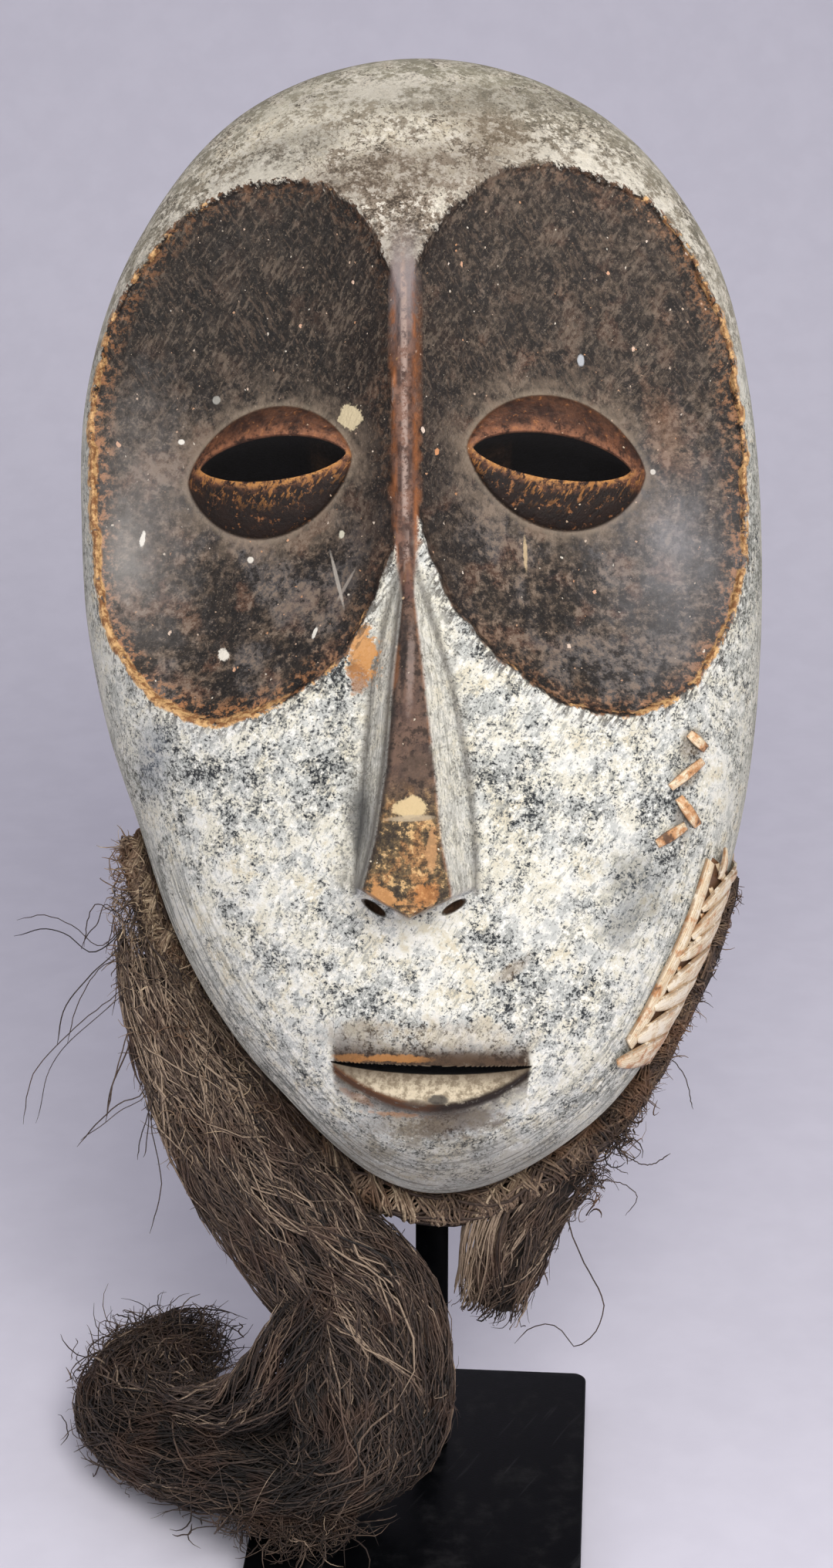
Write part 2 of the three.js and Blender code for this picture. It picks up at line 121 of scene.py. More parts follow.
sockets = [
    {"x": -60, "h": 58, "tilt": 0.38, "floor": 63,
     "radii": [50.5, 55.7, 77.6, 93.3, 84.5, 70.2, 59.5, 54.6, 58.8, 76.2, 91.8, 84, 67.9, 56.2],
     "worn": [0.1, 0.1, 0.22, 0.55, 0.9, 1.0, 0.85, 0.1]},
    {"x": 53, "h": 61, "tilt": -0.36, "floor": 63,
     "radii": [57.2, 60.1, 70.9, 88.4, 95.3, 83.1, 63, 56.9, 60.8, 69.7, 83, 93.9, 80.2, 63.4],
     "worn": [0.6, 0.55, 0.15, 0.0, 0.0, 0.0, 0.4, 0.8]},
]
socketCut = {"edge": 2.5, "hollow": 12, "inside": 1.7, "outside": 1.0, "uneven": 0.55}
eyes = [
    {"inner": (-24, 55), "outer": (-81, 49), "lidUp": 22, "lidDown": 23,
     "slitIn": (-26, 56.5), "slitOut": (-76.5, 53.5), "slitUp": 8.6, "slitDown": 7.2},
    {"inner": (14.5, 58.5), "outer": (76.5, 52), "lidUp": 22.5, "lidDown": 23.5,
     "slitIn": (16.5, 58.5), "slitOut": (71, 53), "slitUp": 8.6, "slitDown": 7.4},
]
lids = {"rise": 9, "edge": 0.8, "slitFall": 0.55, "slitThrough": (104, 8), "slitSteps": 96}
nose = {  # stations down the nose: height, left foot, right foot, left ridge, right ridge, rise
    "sections": [(22, -6.4, -4.2, -5.8, -4.8, 0.8), (4, -12, 1.5, -7.6, -2.6, 6),
                 (-20, -17.5, 9, -10.2, 0.2, 11),
                 (-48, -20.5, 14.5, -12.4, 3.4, 16.5), (-72, -22, 17, -16, 5.6, 21),
                 (-89, -23, 17.5, -20.5, 9, 24)],
    "bottom": [(-23, -89), (-20.5, -89.3), (-4.9, -98.5), (9, -91.8), (17.5, -89)],
    "crown": 1.2,
    "nostrils": [(-16.6, -95.4, -0.6), (10, -95.2, 0.52)], "nostrilHalf": (4.7, 8, 2.0),
}
mouth = {"left": (-31.5, -147.6), "right": (36.5, -149), "open": 2.9, "lip": 12.5, "lipRise": 4.4,
         "lipSink": 3.4, "slitClimb": 0.14, "underLip": 5, "upperLip": 6, "through": (112, 18)}


def outlineAt(angle):
    return radiusAt(carving["outline"], angle)


def shellDepth(x, h, depths, fullness, inset=0.0):
    edge = np.hypot(x, h) / (outlineAt(np.arctan2(h, x)) - inset)
    return between(depths, h) * np.clip(1 - edge ** fullness, 0, None) ** (1 / fullness)


def faceDepth(x, h):
    return shellDepth(x, h, carving["crown"], carving["fullness"])


def socketGap(socket, x, h):
    # mm outside the rim of a socket, negative inside it
    angle = np.arctan2(h - socket["h"], x - socket["x"])
    knifed = np.sin(11 * angle + 1) + 0.7 * np.sin(23 * angle + 2.6) + 0.5 * np.sin(47 * angle + 4)
    reach = radiusAt(socket["radii"], angle) + socketCut["uneven"] * knifed
    return np.hypot(x - socket["x"], h - socket["h"]) - reach


def dishDepth(socket, x, h):
    angle = np.arctan2(h - socket["h"], x - socket["x"])
    reach = radiusAt(socket["radii"], angle)
    part = np.minimum(np.hypot(x - socket["x"], h - socket["h"]) / reach, 1)
    alongX, alongH = polar(reach, angle)
    rimX, rimH = socket["x"] + alongX, socket["h"] + alongH
    plane = socket["floor"] + socket["tilt"] * (x - socket["x"])
    rimPlane = socket["floor"] + socket["tilt"] * (rimX - socket["x"])
    rimRise = faceDepth(rimX, rimH) - socketCut["edge"] - rimPlane
    return plane - socketCut["hollow"] * (1 - part ** 2.2) + rimRise * part ** 2.6


def almondGap(x, h, inner, outer, up, down):
    # mm outside an eye's almond outline, negative inside, and the share of its size at each point
    midX, half = (inner[0] + outer[0]) / 2, abs(outer[0] - inner[0]) / 2
    slope = (outer[1] - inner[1]) / (outer[0] - inner[0])
    rise = h - (inner[1] + outer[1]) / 2 - slope * (x - midX)
    along, across = np.abs(x - midX) / half, np.abs(rise) / np.where(rise >= 0, up, down)
    low, high = np.full_like(along, 1e-4), np.full_like(along, 12.0)
    for _ in range(26):
        part = (low + high) / 2
        over = (along / part) ** 2 + (across / part) ** (2 / 1.3) > 1
        low, high = np.where(over, part, low), np.where(over, high, part)
    return np.hypot(x - midX, rise) * (1 - 1 / part), part


def noseShape(x, h):
    # rise of the nose over the face, mm outside its flat strip, and mm above its lower edge
    down = -np.array([s[0] for s in nose["sections"]], float)
    footL, footR, ridgeL, ridgeR, rise = (np.interp(-h, down, [s[k] for s in nose["sections"]])
                                          for k in range(1, 6))
    footL = footL - 0.6 * (h < -20) * np.sin((h + 20) / 22)
    flank = np.minimum((x - footL) / (ridgeL - footL), (footR - x) / (footR - ridgeR))
    outside = np.maximum(footL - x, x - footR)
    middle = (2 * x - ridgeL - ridgeR) / (ridgeR - ridgeL)
    shape = np.where(flank >= 0, rise * np.minimum(flank, 1), -1.6 * outside)
    shape = shape + nose["crown"] * np.clip(1 - middle * middle, 0, 1) * np.clip(rise / 9, 0, 1)
    shape = np.where(h > 26, -40.0, shape - np.clip((h - 16) / 6, 0, 1) * 1.5)
    bottom = np.interp(x, *np.array(nose["bottom"]).T)
    strip = np.maximum(ridgeL - x, x - ridgeR)
    feet = np.minimum(np.abs(x - footL), np.abs(x - footR))
    return shape, strip, h - bottom, feet


def mouthShape(x, h):
    part = (x - mouth["left"][0]) / (mouth["right"][0] - mouth["left"][0])
    line = mouth["left"][1] + (mouth["right"][1] - mouth["left"][1]) * part
    bow = np.clip(4 * part * (1 - part), 0, 1)
    below = line - h
    edge = 1 + mouth["lip"] * bow
    under = edge + mouth["underLip"] * bow + 0.5
    rise = mouth["lipRise"] * bow ** 0.5
    inner = -(mouth["lipSink"] * bow + 0.4)
    lower = np.where(below < edge, inner + (rise - inner) * np.clip(below / edge, 0, 1) ** 0.8,
                     rise - (rise + 1.5) * np.clip((below - edge) / (under - edge), 0, 1))
    lower = np.where(below < edge, lower, np.maximum(lower, -0.5 * (below < under)))
    high, fade = 2.2 * bow ** 0.5, np.clip(-below / mouth["upperLip"], 0, 1)
    upper = np.maximum((0.2 + high) - (1.7 + high) * fade, 0)
    inside = (part > 0) & (part < 1)
    lift = np.where(inside & (below >= 0) & (below < under), lower, np.where(inside & (below < 0), upper, 0))
    ends = np.maximum(mouth["left"][0] - x, x - mouth["right"][0])
    return lift, below, np.hypot(np.maximum(ends, 0), below), below - edge, bow, ends


def faceForm(x, h):
    # depth of the carved surface and how far each point lies from the edges that are cut in it
    form = {}
    depth = face = faceDepth(x, h)
    gaps = [socketGap(socket, x, h) for socket in sockets]
    for socket, gap in zip(sockets, gaps):
        share = ease(-socketCut["inside"], socketCut["outside"], gap)
        dish = np.minimum(dishDepth(socket, x, h), face)
        cut = np.minimum(depth, dish * (1 - share) + face * share)
        depth = np.where(gap < socketCut["outside"], cut, depth)
    form["socketGap"] = np.minimum(*gaps)
    lidGap, slitGap = np.full_like(x, 99.0), np.full_like(x, 99.0)
    for eye, socket in zip(eyes, sockets):
        gap, part = almondGap(x, h, eye["inner"], eye["outer"], eye["lidUp"], eye["lidDown"])
        lift = (lids["edge"] + lids["rise"] * np.clip(1 - part * part, 0, 1) ** 0.7) * ease(0.5, -0.7, gap)
        depth = np.where(gap < 0.5, dishDepth(socket, x, h) + lift, depth)
        lidGap = np.minimum(lidGap, gap)
        slit, _ = almondGap(x, h, eye["slitIn"], eye["slitOut"], eye["slitUp"], eye["slitDown"])
        slitGap = np.minimum(slitGap, slit)
    shape, strip, aboveTip, feet = noseShape(x, h)
    standing = np.where(aboveTip > 1.2, 1.0, ease(-1.0, 1.2, aboveTip))
    depth = depth + np.maximum(face + shape - depth, 0) * standing
    lift, below, mouthGap, lipGap, bow, ends = mouthShape(x, h)
    depth = depth + lift
    form.update(depth=depth, face=face, lidGap=lidGap, slitGap=slitGap, stripGap=strip, tipGap=aboveTip,
                feetGap=np.where((h < 24) & (aboveTip > -3), feet, 99), mouthGap=mouthGap, below=below,
                lipGap=np.where(ends < 0, lipGap, 99), bow=bow)
    onNose = (h < 24) & (aboveTip > -3) & (feet < 50)
    form["edgeGap"] = np.minimum.reduce([
        np.abs(form["socketGap"]), np.abs(lidGap), np.abs(slitGap), np.where(onNose, feet, 99),
        np.where(onNose, np.abs(strip), 99), np.where((strip < 14), np.abs(aboveTip), 99),
        mouthGap, np.where(ends < 1, np.abs(lipGap), 99)])
    return form


# even steps of surface from the middle of the face to its upright rim
rimSteps = np.linspace(0, 1, 400)
profile = np.stack([rimSteps * 150, 85 * (1 - rimSteps ** carving["fullness"]) ** (1 / carving["fullness"])])
walked = np.concatenate([[0], np.cumsum(np.hypot(*np.diff(profile, axis=1)))])
walked = 0.7 * walked / walked[-1] + 0.3 * rimSteps


def ovalPlace(u, v, inset=0.0):
    # a square from -1 to 1 laid over the outline
    x, h = u * np.sqrt(1 - v * v / 2), v * np.sqrt(1 - u * u / 2)
    edge = np.interp(np.hypot(x, h), walked, rimSteps)
    angle = np.arctan2(h, x)
    reach = outlineAt(angle) - inset
    return polar(edge * reach, angle)


def vertexArray(bm):
    return np.array([v.co for v in bm.verts])


def setVertices(bm, points):
    for vert, point in zip(bm.verts, points.tolist()):
        vert.co = point


def added(name, data):
    made = bpy.data.objects.new(name, data)
    bpy.context.scene.collection.objects.link(made)
    return made


def meshPiece(name, bm, material=None, angle=40):
    mesh = bpy.data.meshes.new(name)
    bm.to_mesh(mesh)
    bm.free()
    piece = added(name, mesh)
    mesh.shade_smooth()
    mesh.set_sharp_from_angle(angle=math.radians(angle))
    if material:
        mesh.materials.append(material)
    return piece


def applied(piece):
    # the mesh with its modifiers in it, in place of the piece's own
    shown = bpy.context.evaluated_depsgraph_get()
    mesh = bpy.data.meshes.new_from_object(piece.evaluated_get(shown))
    piece.modifiers.clear()
    piece.data = mesh
    return piece


def cutFrom(piece, cutters):
    for cutter in cutters:
        cut = piece.modifiers.new("cut", "BOOLEAN")
        cut.operation, cut.object, cut.solver = "DIFFERENCE", cutter, "MANIFOLD"
    bpy.context.view_layer.update()
    applied(piece)
    for cutter in cutters:
        bpy.data.objects.remove(cutter)


def laidGrid(rows, columns, inset):
    # a flat grid laid over the outline
    bm = bmesh.new()
    bmesh.ops.create_grid(bm, x_segments=columns, y_segments=rows, size=1)
    square = vertexArray(bm)
    x, h = ovalPlace(square[:, 0], square[:, 1], inset)
    setVertices(bm, stacked(x, h, np.zeros_like(x)))
    return bm


def closeBack(bm, inset, back):
    rim = [edge for edge in bm.edges if edge.is_boundary]
    made = bmesh.ops.extrude_edge_only(bm, edges=rim)
    verts = [part for part in made["geom"] if isinstance(part, bmesh.types.BMVert)]
    edges = [part for part in made["geom"] if isinstance(part, bmesh.types.BMEdge) and part.is_boundary]
    for vert in verts:
        x, h, _ = offFace([vert.co])
        angle = math.atan2(h[0], x[0])
        reach = float(outlineAt(angle)) - inset
        vert.co = onFace(*polar(reach, angle), back)
    bmesh.ops.contextual_create(bm, geom=edges)
    bmesh.ops.recalc_face_normals(bm, faces=bm.faces)


def roughness(points, size, octaves=3):
    return np.array([noise.fractal(Vector(p), 0.9, 2.0, octaves) for p in (points / size).tolist()])


def carveMask():
    bm = laidGrid(carving["rows"], carving["columns"], 0)
    for reach in carving["fineReach"]:
        x, h = vertexArray(bm)[:, :2].T
        near = faceForm(x, h)["edgeGap"] < reach
        edges = [edge for edge in bm.edges if near[edge.verts[0].index] and near[edge.verts[1].index]]
        bmesh.ops.subdivide_edges(bm, edges=edges, cuts=1, use_grid_fill=True)
        bm.verts.index_update()
    x, h = vertexArray(bm)[:, :2].T
    depth = faceForm(x, h)["depth"]
    flat = stacked(x, h, depth)
    broad = relief["broad"] * roughness(flat, relief["broadSize"]) * ease(4, 20, depth)
    depth = depth + broad + relief["fine"] * roughness(flat + 90, relief["fineSize"], 2)
    setVertices(bm, onFace(x, h, np.maximum(depth, carving["leastDepth"])))
    closeBack(bm, carving["leastDepth"], carving["backDepth"])
    bmesh.ops.triangulate(bm, faces=[face for face in bm.faces if len(face.verts) > 4])
    return meshPiece("carved_face", bm)


def hollowCutter():
    bm = laidGrid(carving["hollowRows"], carving["hollowColumns"], carving["rimWidth"])
    x, h = vertexArray(bm)[:, :2].T
    depth = shellDepth(x, h, carving["hollow"], carving["hollowFullness"], carving["rimWidth"])
    flat = stacked(x, h, depth)
    dents = relief["hollow"] * np.abs(roughness(flat, relief["hollowSize"], 2)) * ease(3, 20, depth)
    setVertices(bm, onFace(x, h, depth - dents))
    closeBack(bm, carving["rimWidth"], carving["hollowBack"])
    return meshPiece("hollow_cutter", bm)


def ringedPiece(name, segments, steps, placed, finish=None):
    # circles bridged one after the other, with both ends closed: placed gives the points of each step
    bm, loops = bmesh.new(), []
    for step in steps:
        made = bmesh.ops.create_circle(bm, segments=segments, radius=1)["verts"]
        for vert, point in zip(made, placed(np.array([vert.co for vert in made]), step).tolist()):
            vert.co = point
        loops.append([edge for vert in made for edge in vert.link_edges])
    for before, after in zip(loops, loops[1:]):
        bmesh.ops.bridge_loops(bm, edges=list(set(before + after)))
    for loop in (loops[0], loops[-1]):
        bmesh.ops.contextual_create(bm, geom=list(set(loop)))
    bmesh.ops.recalc_face_normals(bm, faces=bm.faces)
    return meshPiece(name, bm, finish)


def tunnel(name, x, h, fall, front, back):
    # a cutter through an outline on the face, with rings close behind the surface
    surface = faceForm(x, h)["depth"]
    depths = np.full_like(x, front), surface - 0.35, surface - 1.2, np.full_like(x, back)
    return ringedPiece(name, len(x), depths, lambda _, depth: onFace(x, h - (surface - depth) * fall, depth))


def slitCutter(eye):
    (innerX, innerH), (outerX, outerH) = eye["slitIn"], eye["slitOut"]
    angle = np.linspace(0, 2 * math.pi, lids["slitSteps"], endpoint=False)
    along = np.cos(angle) * abs(outerX - innerX) / 2
    across = np.where(np.sin(angle) >= 0, eye["slitUp"], -eye["slitDown"]) * np.abs(np.sin(angle)) ** 1.3
    h = (innerH + outerH) / 2 + (outerH - innerH) / (outerX - innerX) * along + across
    return tunnel("slit_cutter", (innerX + outerX) / 2 + along, h, lids["slitFall"],
                  *lids["slitThrough"])


def nostrilCutter(place):
    bm = bmesh.new()
    bmesh.ops.create_uvsphere(bm, u_segments=28, v_segments=18, radius=1)
    x, h, slope = place
    middle = faceDepth(np.array([x]), np.array([h]))[0] + nose["nostrilHalf"][1] - 5
    wide, deep, tall = nose["nostrilHalf"]
    points = vertexArray(bm)
    right = points[:, 0] * wide
    setVertices(bm, onFace(x + right, h + slope * right + points[:, 2] * tall, middle - points[:, 1] * deep))
    bmesh.ops.recalc_face_normals(bm, faces=bm.faces)
    return meshPiece("nostril_cutter", bm)


def mouthCutter():
    part = np.linspace(0.005, 0.995, 41)
    x = mouth["left"][0] + (mouth["right"][0] - mouth["left"][0]) * part
    h = mouth["left"][1] + (mouth["right"][1] - mouth["left"][1]) * part
    gape = 0.25 + mouth["open"] * (4 * part * (1 - part)) ** 0.8
    x, h = np.concatenate([x, x[::-1]]), np.concatenate([h + 0.1, (h - gape)[::-1]])
    return tunnel("mouth_cutter", x, h, -mouth["slitClimb"], *mouth["through"])


mask = carveMask()
print("face carved:", len(mask.data.polygons), "faces")
cutFrom(mask, [hollowCutter(), *map(slitCutter, eyes), *map(nostrilCutter, nose["nostrils"]), mouthCutter()])
mask.name = "carved_mask"
print("hollow, slits, nostrils and mouth cut:", len(mask.data.polygons), "faces")


def mark(piece, name, values, kind="FLOAT"):
    layer = piece.data.attributes.new(name, kind, "POINT")
    key = "vector" if kind == "FLOAT_VECTOR" else "value"
    layer.data.foreach_set(key, np.ascontiguousarray(values, dtype=np.float32).ravel())


def points(piece):
    flat = np.empty(len(piece.data.vertices) * 3, dtype=np.float32)
    piece.data.vertices.foreach_get("co", flat)
    return flat.reshape(-1, 3).astype(float)


def markMask():
    x, h, d = offFace(points(mask))
    form = faceForm(x, h)
    under = form["depth"] - d
    mark(mask, "place", stacked(x, h, d), "FLOAT_VECTOR")
    for name in ("socketGap", "lidGap", "slitGap", "stripGap", "feetGap", "lipGap", "below"):
        mark(mask, name, np.clip(form[name], -60, 60))
    # walls of the eye slits and of the mouth, later painted near black as shade, and all the wood that was
    # never painted
    mouthWall = (form["below"] > -1.5) & (form["below"] < 7) & (form["bow"] > 0.01)
    wall = ease(0.25, 0.9, under) * np.maximum(ease(8, 4, form["slitGap"]), mouthWall) * ease(12, 20, d)
    mark(mask, "slitWall", wall)
    mark(mask, "bareWoodAndShade", np.maximum(np.maximum(ease(0.9, 2.2, under), ease(1.0, 0.4, d)), wall))
    # mm inside the outline, and the way along it
    angle = np.arctan2(h, x)
    inside = outlineAt(angle) - np.hypot(x, h)
    mark(mask, "rimPlace", stacked(inside, angle * 120, np.zeros_like(x)), "FLOAT_VECTOR")
    # wear of the rims of the sockets, by the angle round each, and the height over the middle of each slit
    worn, rise = np.zeros_like(x), np.zeros_like(x)
    for socket, eye in zip(sockets, eyes):
        angle = np.arctan2(h - socket["h"], x - socket["x"])
        near = np.abs(socketGap(socket, x, h)) < 9
        worn = np.where(near, np.maximum(worn, radiusAt(socket["worn"], angle)), worn)
        (innerX, innerH), (outerX, outerH) = eye["slitIn"], eye["slitOut"]
        line = innerH + (outerH - innerH) * (x - innerX) / (outerX - innerX)
        rise = np.where(socketGap(socket, x, h) < 0, h - line, rise)
    mark(mask, "worn", worn)
    mark(mask, "lidRise", np.clip(rise, -60, 60))
    # the narrow ridge between the sockets, down to the root of the nose
    middle = np.interp(h, [-5, 30, 60, 90, 120], [-5, -6, -6.3, -6.5, -6.8])
    half = np.interp(h, [2, 30], [1.4, 4.1])
    ridge = ease(half + 0.7, half - 0.7, np.abs(x - middle)) * ease(2, 9, h) * (form["socketGap"] > -3)
    mark(mask, "ridge", ridge * ease(134, 112, h))
    # broad clouds of tone, 33, 12 and 20 mm across
    for name, size, step in (("clouds", 33, 0), ("drifts", 12, 300), ("shadows", 20, 600)):
        cloud = roughness(stacked(x, h, d + step), size, 4)
        mark(mask, name, (cloud - cloud.mean()) / cloud.std())
    mark(mask, "ridgeGap", np.clip(np.abs(x - middle), 0, 60))
    mark(mask, "strip", ease(0.7, -0.7, form["stripGap"]) * ease(24, 14, h) * ease(-1.5, 0.3, form["tipGap"]))
    mark(mask, "flank", ease(-0.5, 0.8, form["stripGap"]) * ease(16, 3, form["stripGap"]) * ease(20, 6, h)
         * ease(-0.6, 0.6, form["tipGap"]))
    mark(mask, "lip", ease(0.6, -0.8, form["lipGap"]) * (form["below"] > -0.3) * ease(0.0, 0.1, form["bow"]))
    mark(mask, "bow", form["bow"])


markMask()


def shade(red, green, blue):
    parts = (((c / 255 + 0.055) / 1.055) ** 2.4 if c > 10 else c / 255 / 12.92 for c in (red, green, blue))
    return (*parts, 1)


def feed(tree, socket, value):
    if isinstance(value, bpy.types.NodeSocket):
        tree.links.new(value, socket)
    elif value is not None:
        socket.default_value = value


def place(tree, kind, wires=None, **settings):
    made = tree.nodes.new("ShaderNode" + kind)
    for name, value in settings.items():
        setattr(made, name, value)
    for name, value in (wires or {}).items():
        feed(tree, made.inputs[name], value)
    return made


def mixed(tree, share, first, second):
    made = place(tree, "Mix", data_type="RGBA")
    for socket, value in ((0, share), (6, first), (7, second)):
        feed(tree, made.inputs[socket], value)
    return made.outputs[2]


def leaned(tree, share, first, second):
    return place(tree, "MapRange", {"Value": share, "To Min": first, "To Max": second}).outputs["Result"]


def sums(tree, how, first, second=0.0, third=None):
    return place(tree, "Math", {0: first, 1: second, 2: third}, operation=how).outputs[0]


def axis(tree, vector, index):
    return place(tree, "SeparateXYZ", {0: vector}).outputs[index]


def objectPlace(tree):
    return place(tree, "TexCoord").outputs["Object"]


def product(tree, *masks):
    out = masks[0]
    for other in masks[1:]:
        out = sums(tree, "MULTIPLY", out, other)
    return out


def ramped(tree, value, low, high, start=0.0, end=1.0):
    return place(tree, "MapRange", {"Value": value, "From Min": low, "From Max": high, "To Min": start,
                                    "To Max": end}, interpolation_type="SMOOTHSTEP").outputs["Result"]


def effectGroup(name, wants, gives):
    group = bpy.data.node_groups.new(name, "ShaderNodeTree")
    for label, kind, value in wants:
        socket = group.interface.new_socket(name=label, in_out="INPUT", socket_type="NodeSocket" + kind)
        socket.default_value = value
    for label, kind in gives:
        group.interface.new_socket(name=label, in_out="OUTPUT", socket_type="NodeSocket" + kind)
    return group, group.nodes.new("NodeGroupInput").outputs, group.nodes.new("NodeGroupOutput").inputs


def patchesGroup():
    # ragged patches of one tone on another
    group, wants, gives = effectGroup("patches", [
        ("Place", "Vector", (0, 0, 0)), ("Stretch", "Vector", (1, 1, 1)), ("Scale", "Float", 0.1),
        ("Detail", "Float", 3.0), ("Rough", "Float", 0.55), ("Low", "Float", 0.45), ("High", "Float", 0.55)],
        [("Mask", "Float")])
    spot = place(group, "VectorMath", {0: wants["Place"], 1: wants["Stretch"]}, operation="MULTIPLY")
    cloud = place(group, "TexNoise", {"Vector": spot.outputs[0], "Scale": wants["Scale"],
                                      "Detail": wants["Detail"],
                                      "Roughness": wants["Rough"]})
    group.links.new(ramped(group, cloud.outputs[0], wants["Low"], wants["High"]), gives["Mask"])
    return group


def flecksGroup():
    # scattered small chips: only some cells of a pattern carry one
    group, wants, gives = effectGroup("flecks", [
        ("Place", "Vector", (0, 0, 0)), ("Wander", "Vector", (0, 0, 0)), ("Stretch", "Vector", (1, 1, 1)),
        ("Scale", "Float", 0.2), ("Size", "Float", 0.2), ("Share", "Float", 0.3)],
        [("Mask", "Float"), ("Tone", "Float")])
    spot = place(group, "VectorMath", {0: wants["Place"], 1: wants["Stretch"]}, operation="MULTIPLY")
    moved = place(group, "VectorMath", {0: wants["Wander"], 1: (2.4, 2.4, 2.4), 2: spot.outputs[0]},
                  operation="MULTIPLY_ADD")
    cells = place(group, "TexVoronoi", {"Vector": moved.outputs[0], "Scale": wants["Scale"]})
    tone = place(group, "SeparateColor", {0: cells.outputs["Color"]})
    chosen = sums(group, "LESS_THAN", tone.outputs[0], wants["Share"])
    size = product(group, wants["Size"], sums(group, "ADD", sums(group, "POWER", tone.outputs[1], 3.0), 0.3))
    inside = sums(group, "LESS_THAN", cells.outputs["Distance"], size)
    group.links.new(product(group, chosen, inside), gives["Mask"])
    group.links.new(tone.outputs[2], gives["Tone"])
    return group


def raggedPatchGroup():
    # one ragged patch round a middle
    group, wants, gives = effectGroup("ragged_patch", [
        ("Place", "Vector", (0, 0, 0)), ("Torn", "Float", 0.0), ("Middle", "Vector", (0, 0, 0)),
        ("Shrink", "Vector", (1, 1, 0)), ("Turn", "Float", 0.0), ("Ragged", "Float", 1.5),
        ("Soft", "Float", 0.2)],
        [("Mask", "Float")])
    off = place(group, "VectorMath", {0: wants["Place"], 1: wants["Middle"]}, operation="SUBTRACT")
    turned = place(group, "VectorRotate", {"Vector": off.outputs[0], "Angle": wants["Turn"]},
                   rotation_type="Z_AXIS")
    scaled = place(group, "VectorMath", {0: turned.outputs[0], 1: wants["Shrink"]}, operation="MULTIPLY")
    away = place(group, "VectorMath", {0: scaled.outputs[0]}, operation="LENGTH").outputs["Value"]
    edge = place(group, "Math", {0: wants["Torn"], 1: wants["Ragged"], 2: away}, operation="MULTIPLY_ADD")
    group.links.new(ramped(group, edge.outputs[0], sums(group, "ADD", wants["Soft"], 1.0),
                           sums(group, "SUBTRACT", 1.0, wants["Soft"])), gives["Mask"])
    return group


patchesEffect, flecksEffect, raggedPatchEffect = patchesGroup(), flecksGroup(), raggedPatchGroup()


def patches(tree, spot, scale, low, high, detail=3.0, stretch=(1, 1, 1), rough=0.55):
    made = place(tree, "Group", node_tree=patchesEffect)
    for label, value in (("Place", spot), ("Stretch", stretch), ("Scale", scale), ("Detail", detail),
                         ("Rough", rough), ("Low", low), ("High", high)):
        feed(tree, made.inputs[label], value)
    return made.outputs["Mask"]


def grained(tree, spot, scale, detail, rough, stretch=None, turn=0.0):
    # a noise that several layers share, its value and its wander
    if stretch:
        turned = place(tree, "VectorRotate", {"Vector": spot, "Angle": turn}, rotation_type="Z_AXIS")
        spot = place(tree, "VectorMath", {0: turned.outputs[0], 1: stretch}, operation="MULTIPLY").outputs[0]
    made = place(tree, "TexNoise", {"Vector": spot, "Scale": scale, "Detail": detail, "Roughness": rough})
    return made.outputs[0], made.outputs[1]


def flecked(tree, spot, wander, base, scale, size, share, first, second, stretch=(1, 1, 1), strength=1.0):
    # chips in tones from the first to the second over a base
    made = place(tree, "Group", node_tree=flecksEffect)
    for label, value in (("Place", spot), ("Wander", wander), ("Stretch", stretch), ("Scale", scale),
                         ("Size", size), ("Share", share)):
        feed(tree, made.inputs[label], value)
    tone = mixed(tree, made.outputs["Tone"], shade(*first), shade(*second))
    return mixed(tree, product(tree, made.outputs["Mask"], strength), base, tone)


def patchedOver(tree, spot, torn, base, rows):
    # rows of (x, h, half wide, half tall, turn, share, tone, ragged, soft)
    for x, h, wide, tall, turn, share, tone, ragged, soft in rows:
        made = place(tree, "Group", node_tree=raggedPatchEffect)
        for label, value in (("Place", spot), ("Torn", torn), ("Middle", (x, h, 0)),
                             ("Shrink", (1 / wide, 1 / tall, 0)), ("Turn", math.radians(-turn)),
                             ("Ragged", ragged), ("Soft", soft)):
            feed(tree, made.inputs[label], value)
        base = mixed(tree, product(tree, made.outputs["Mask"], share), base, shade(*tone))
    return base


def newFinish(name, roughness=0.6, **sockets):
    material = bpy.data.materials.new(name)
    material.use_nodes = True
    surface = material.node_tree.nodes["Principled BSDF"]
    surface.inputs["Roughness"].default_value = roughness
    for label, value in sockets.items():
        surface.inputs[label.replace("_", " ")].default_value = value
    return material, material.node_tree, surface


def read(tree, name, vector=False):
    return place(tree, "Attribute", attribute_name=name).outputs["Vector" if vector else "Fac"]


def layered(tree, base, rows):
    # rows of (share, tone, masks): a mask is a socket, or a tuple of a field and the ramp over it
    for share, tone, *masks in rows:
        over = [ramped(tree, *mask) if isinstance(mask, tuple) else mask for mask in masks]
        base = mixed(tree, product(tree, *over, share), base, shade(*tone))
    return base


def blended(tree, mask, first, second):
    return mixed(tree, ramped(tree, *mask), shade(*first), shade(*second))


def dressed(tree, surface, colour, rough, height, strength, distance):
    # colour, roughness and relief of a finish
    bump = place(tree, "Bump", {"Height": height, "Strength": strength, "Distance": distance})
    for label, value in (("Base Color", colour), ("Roughness", rough), ("Normal", bump.outputs[0])):
        tree.links.new(value, surface.inputs[label])
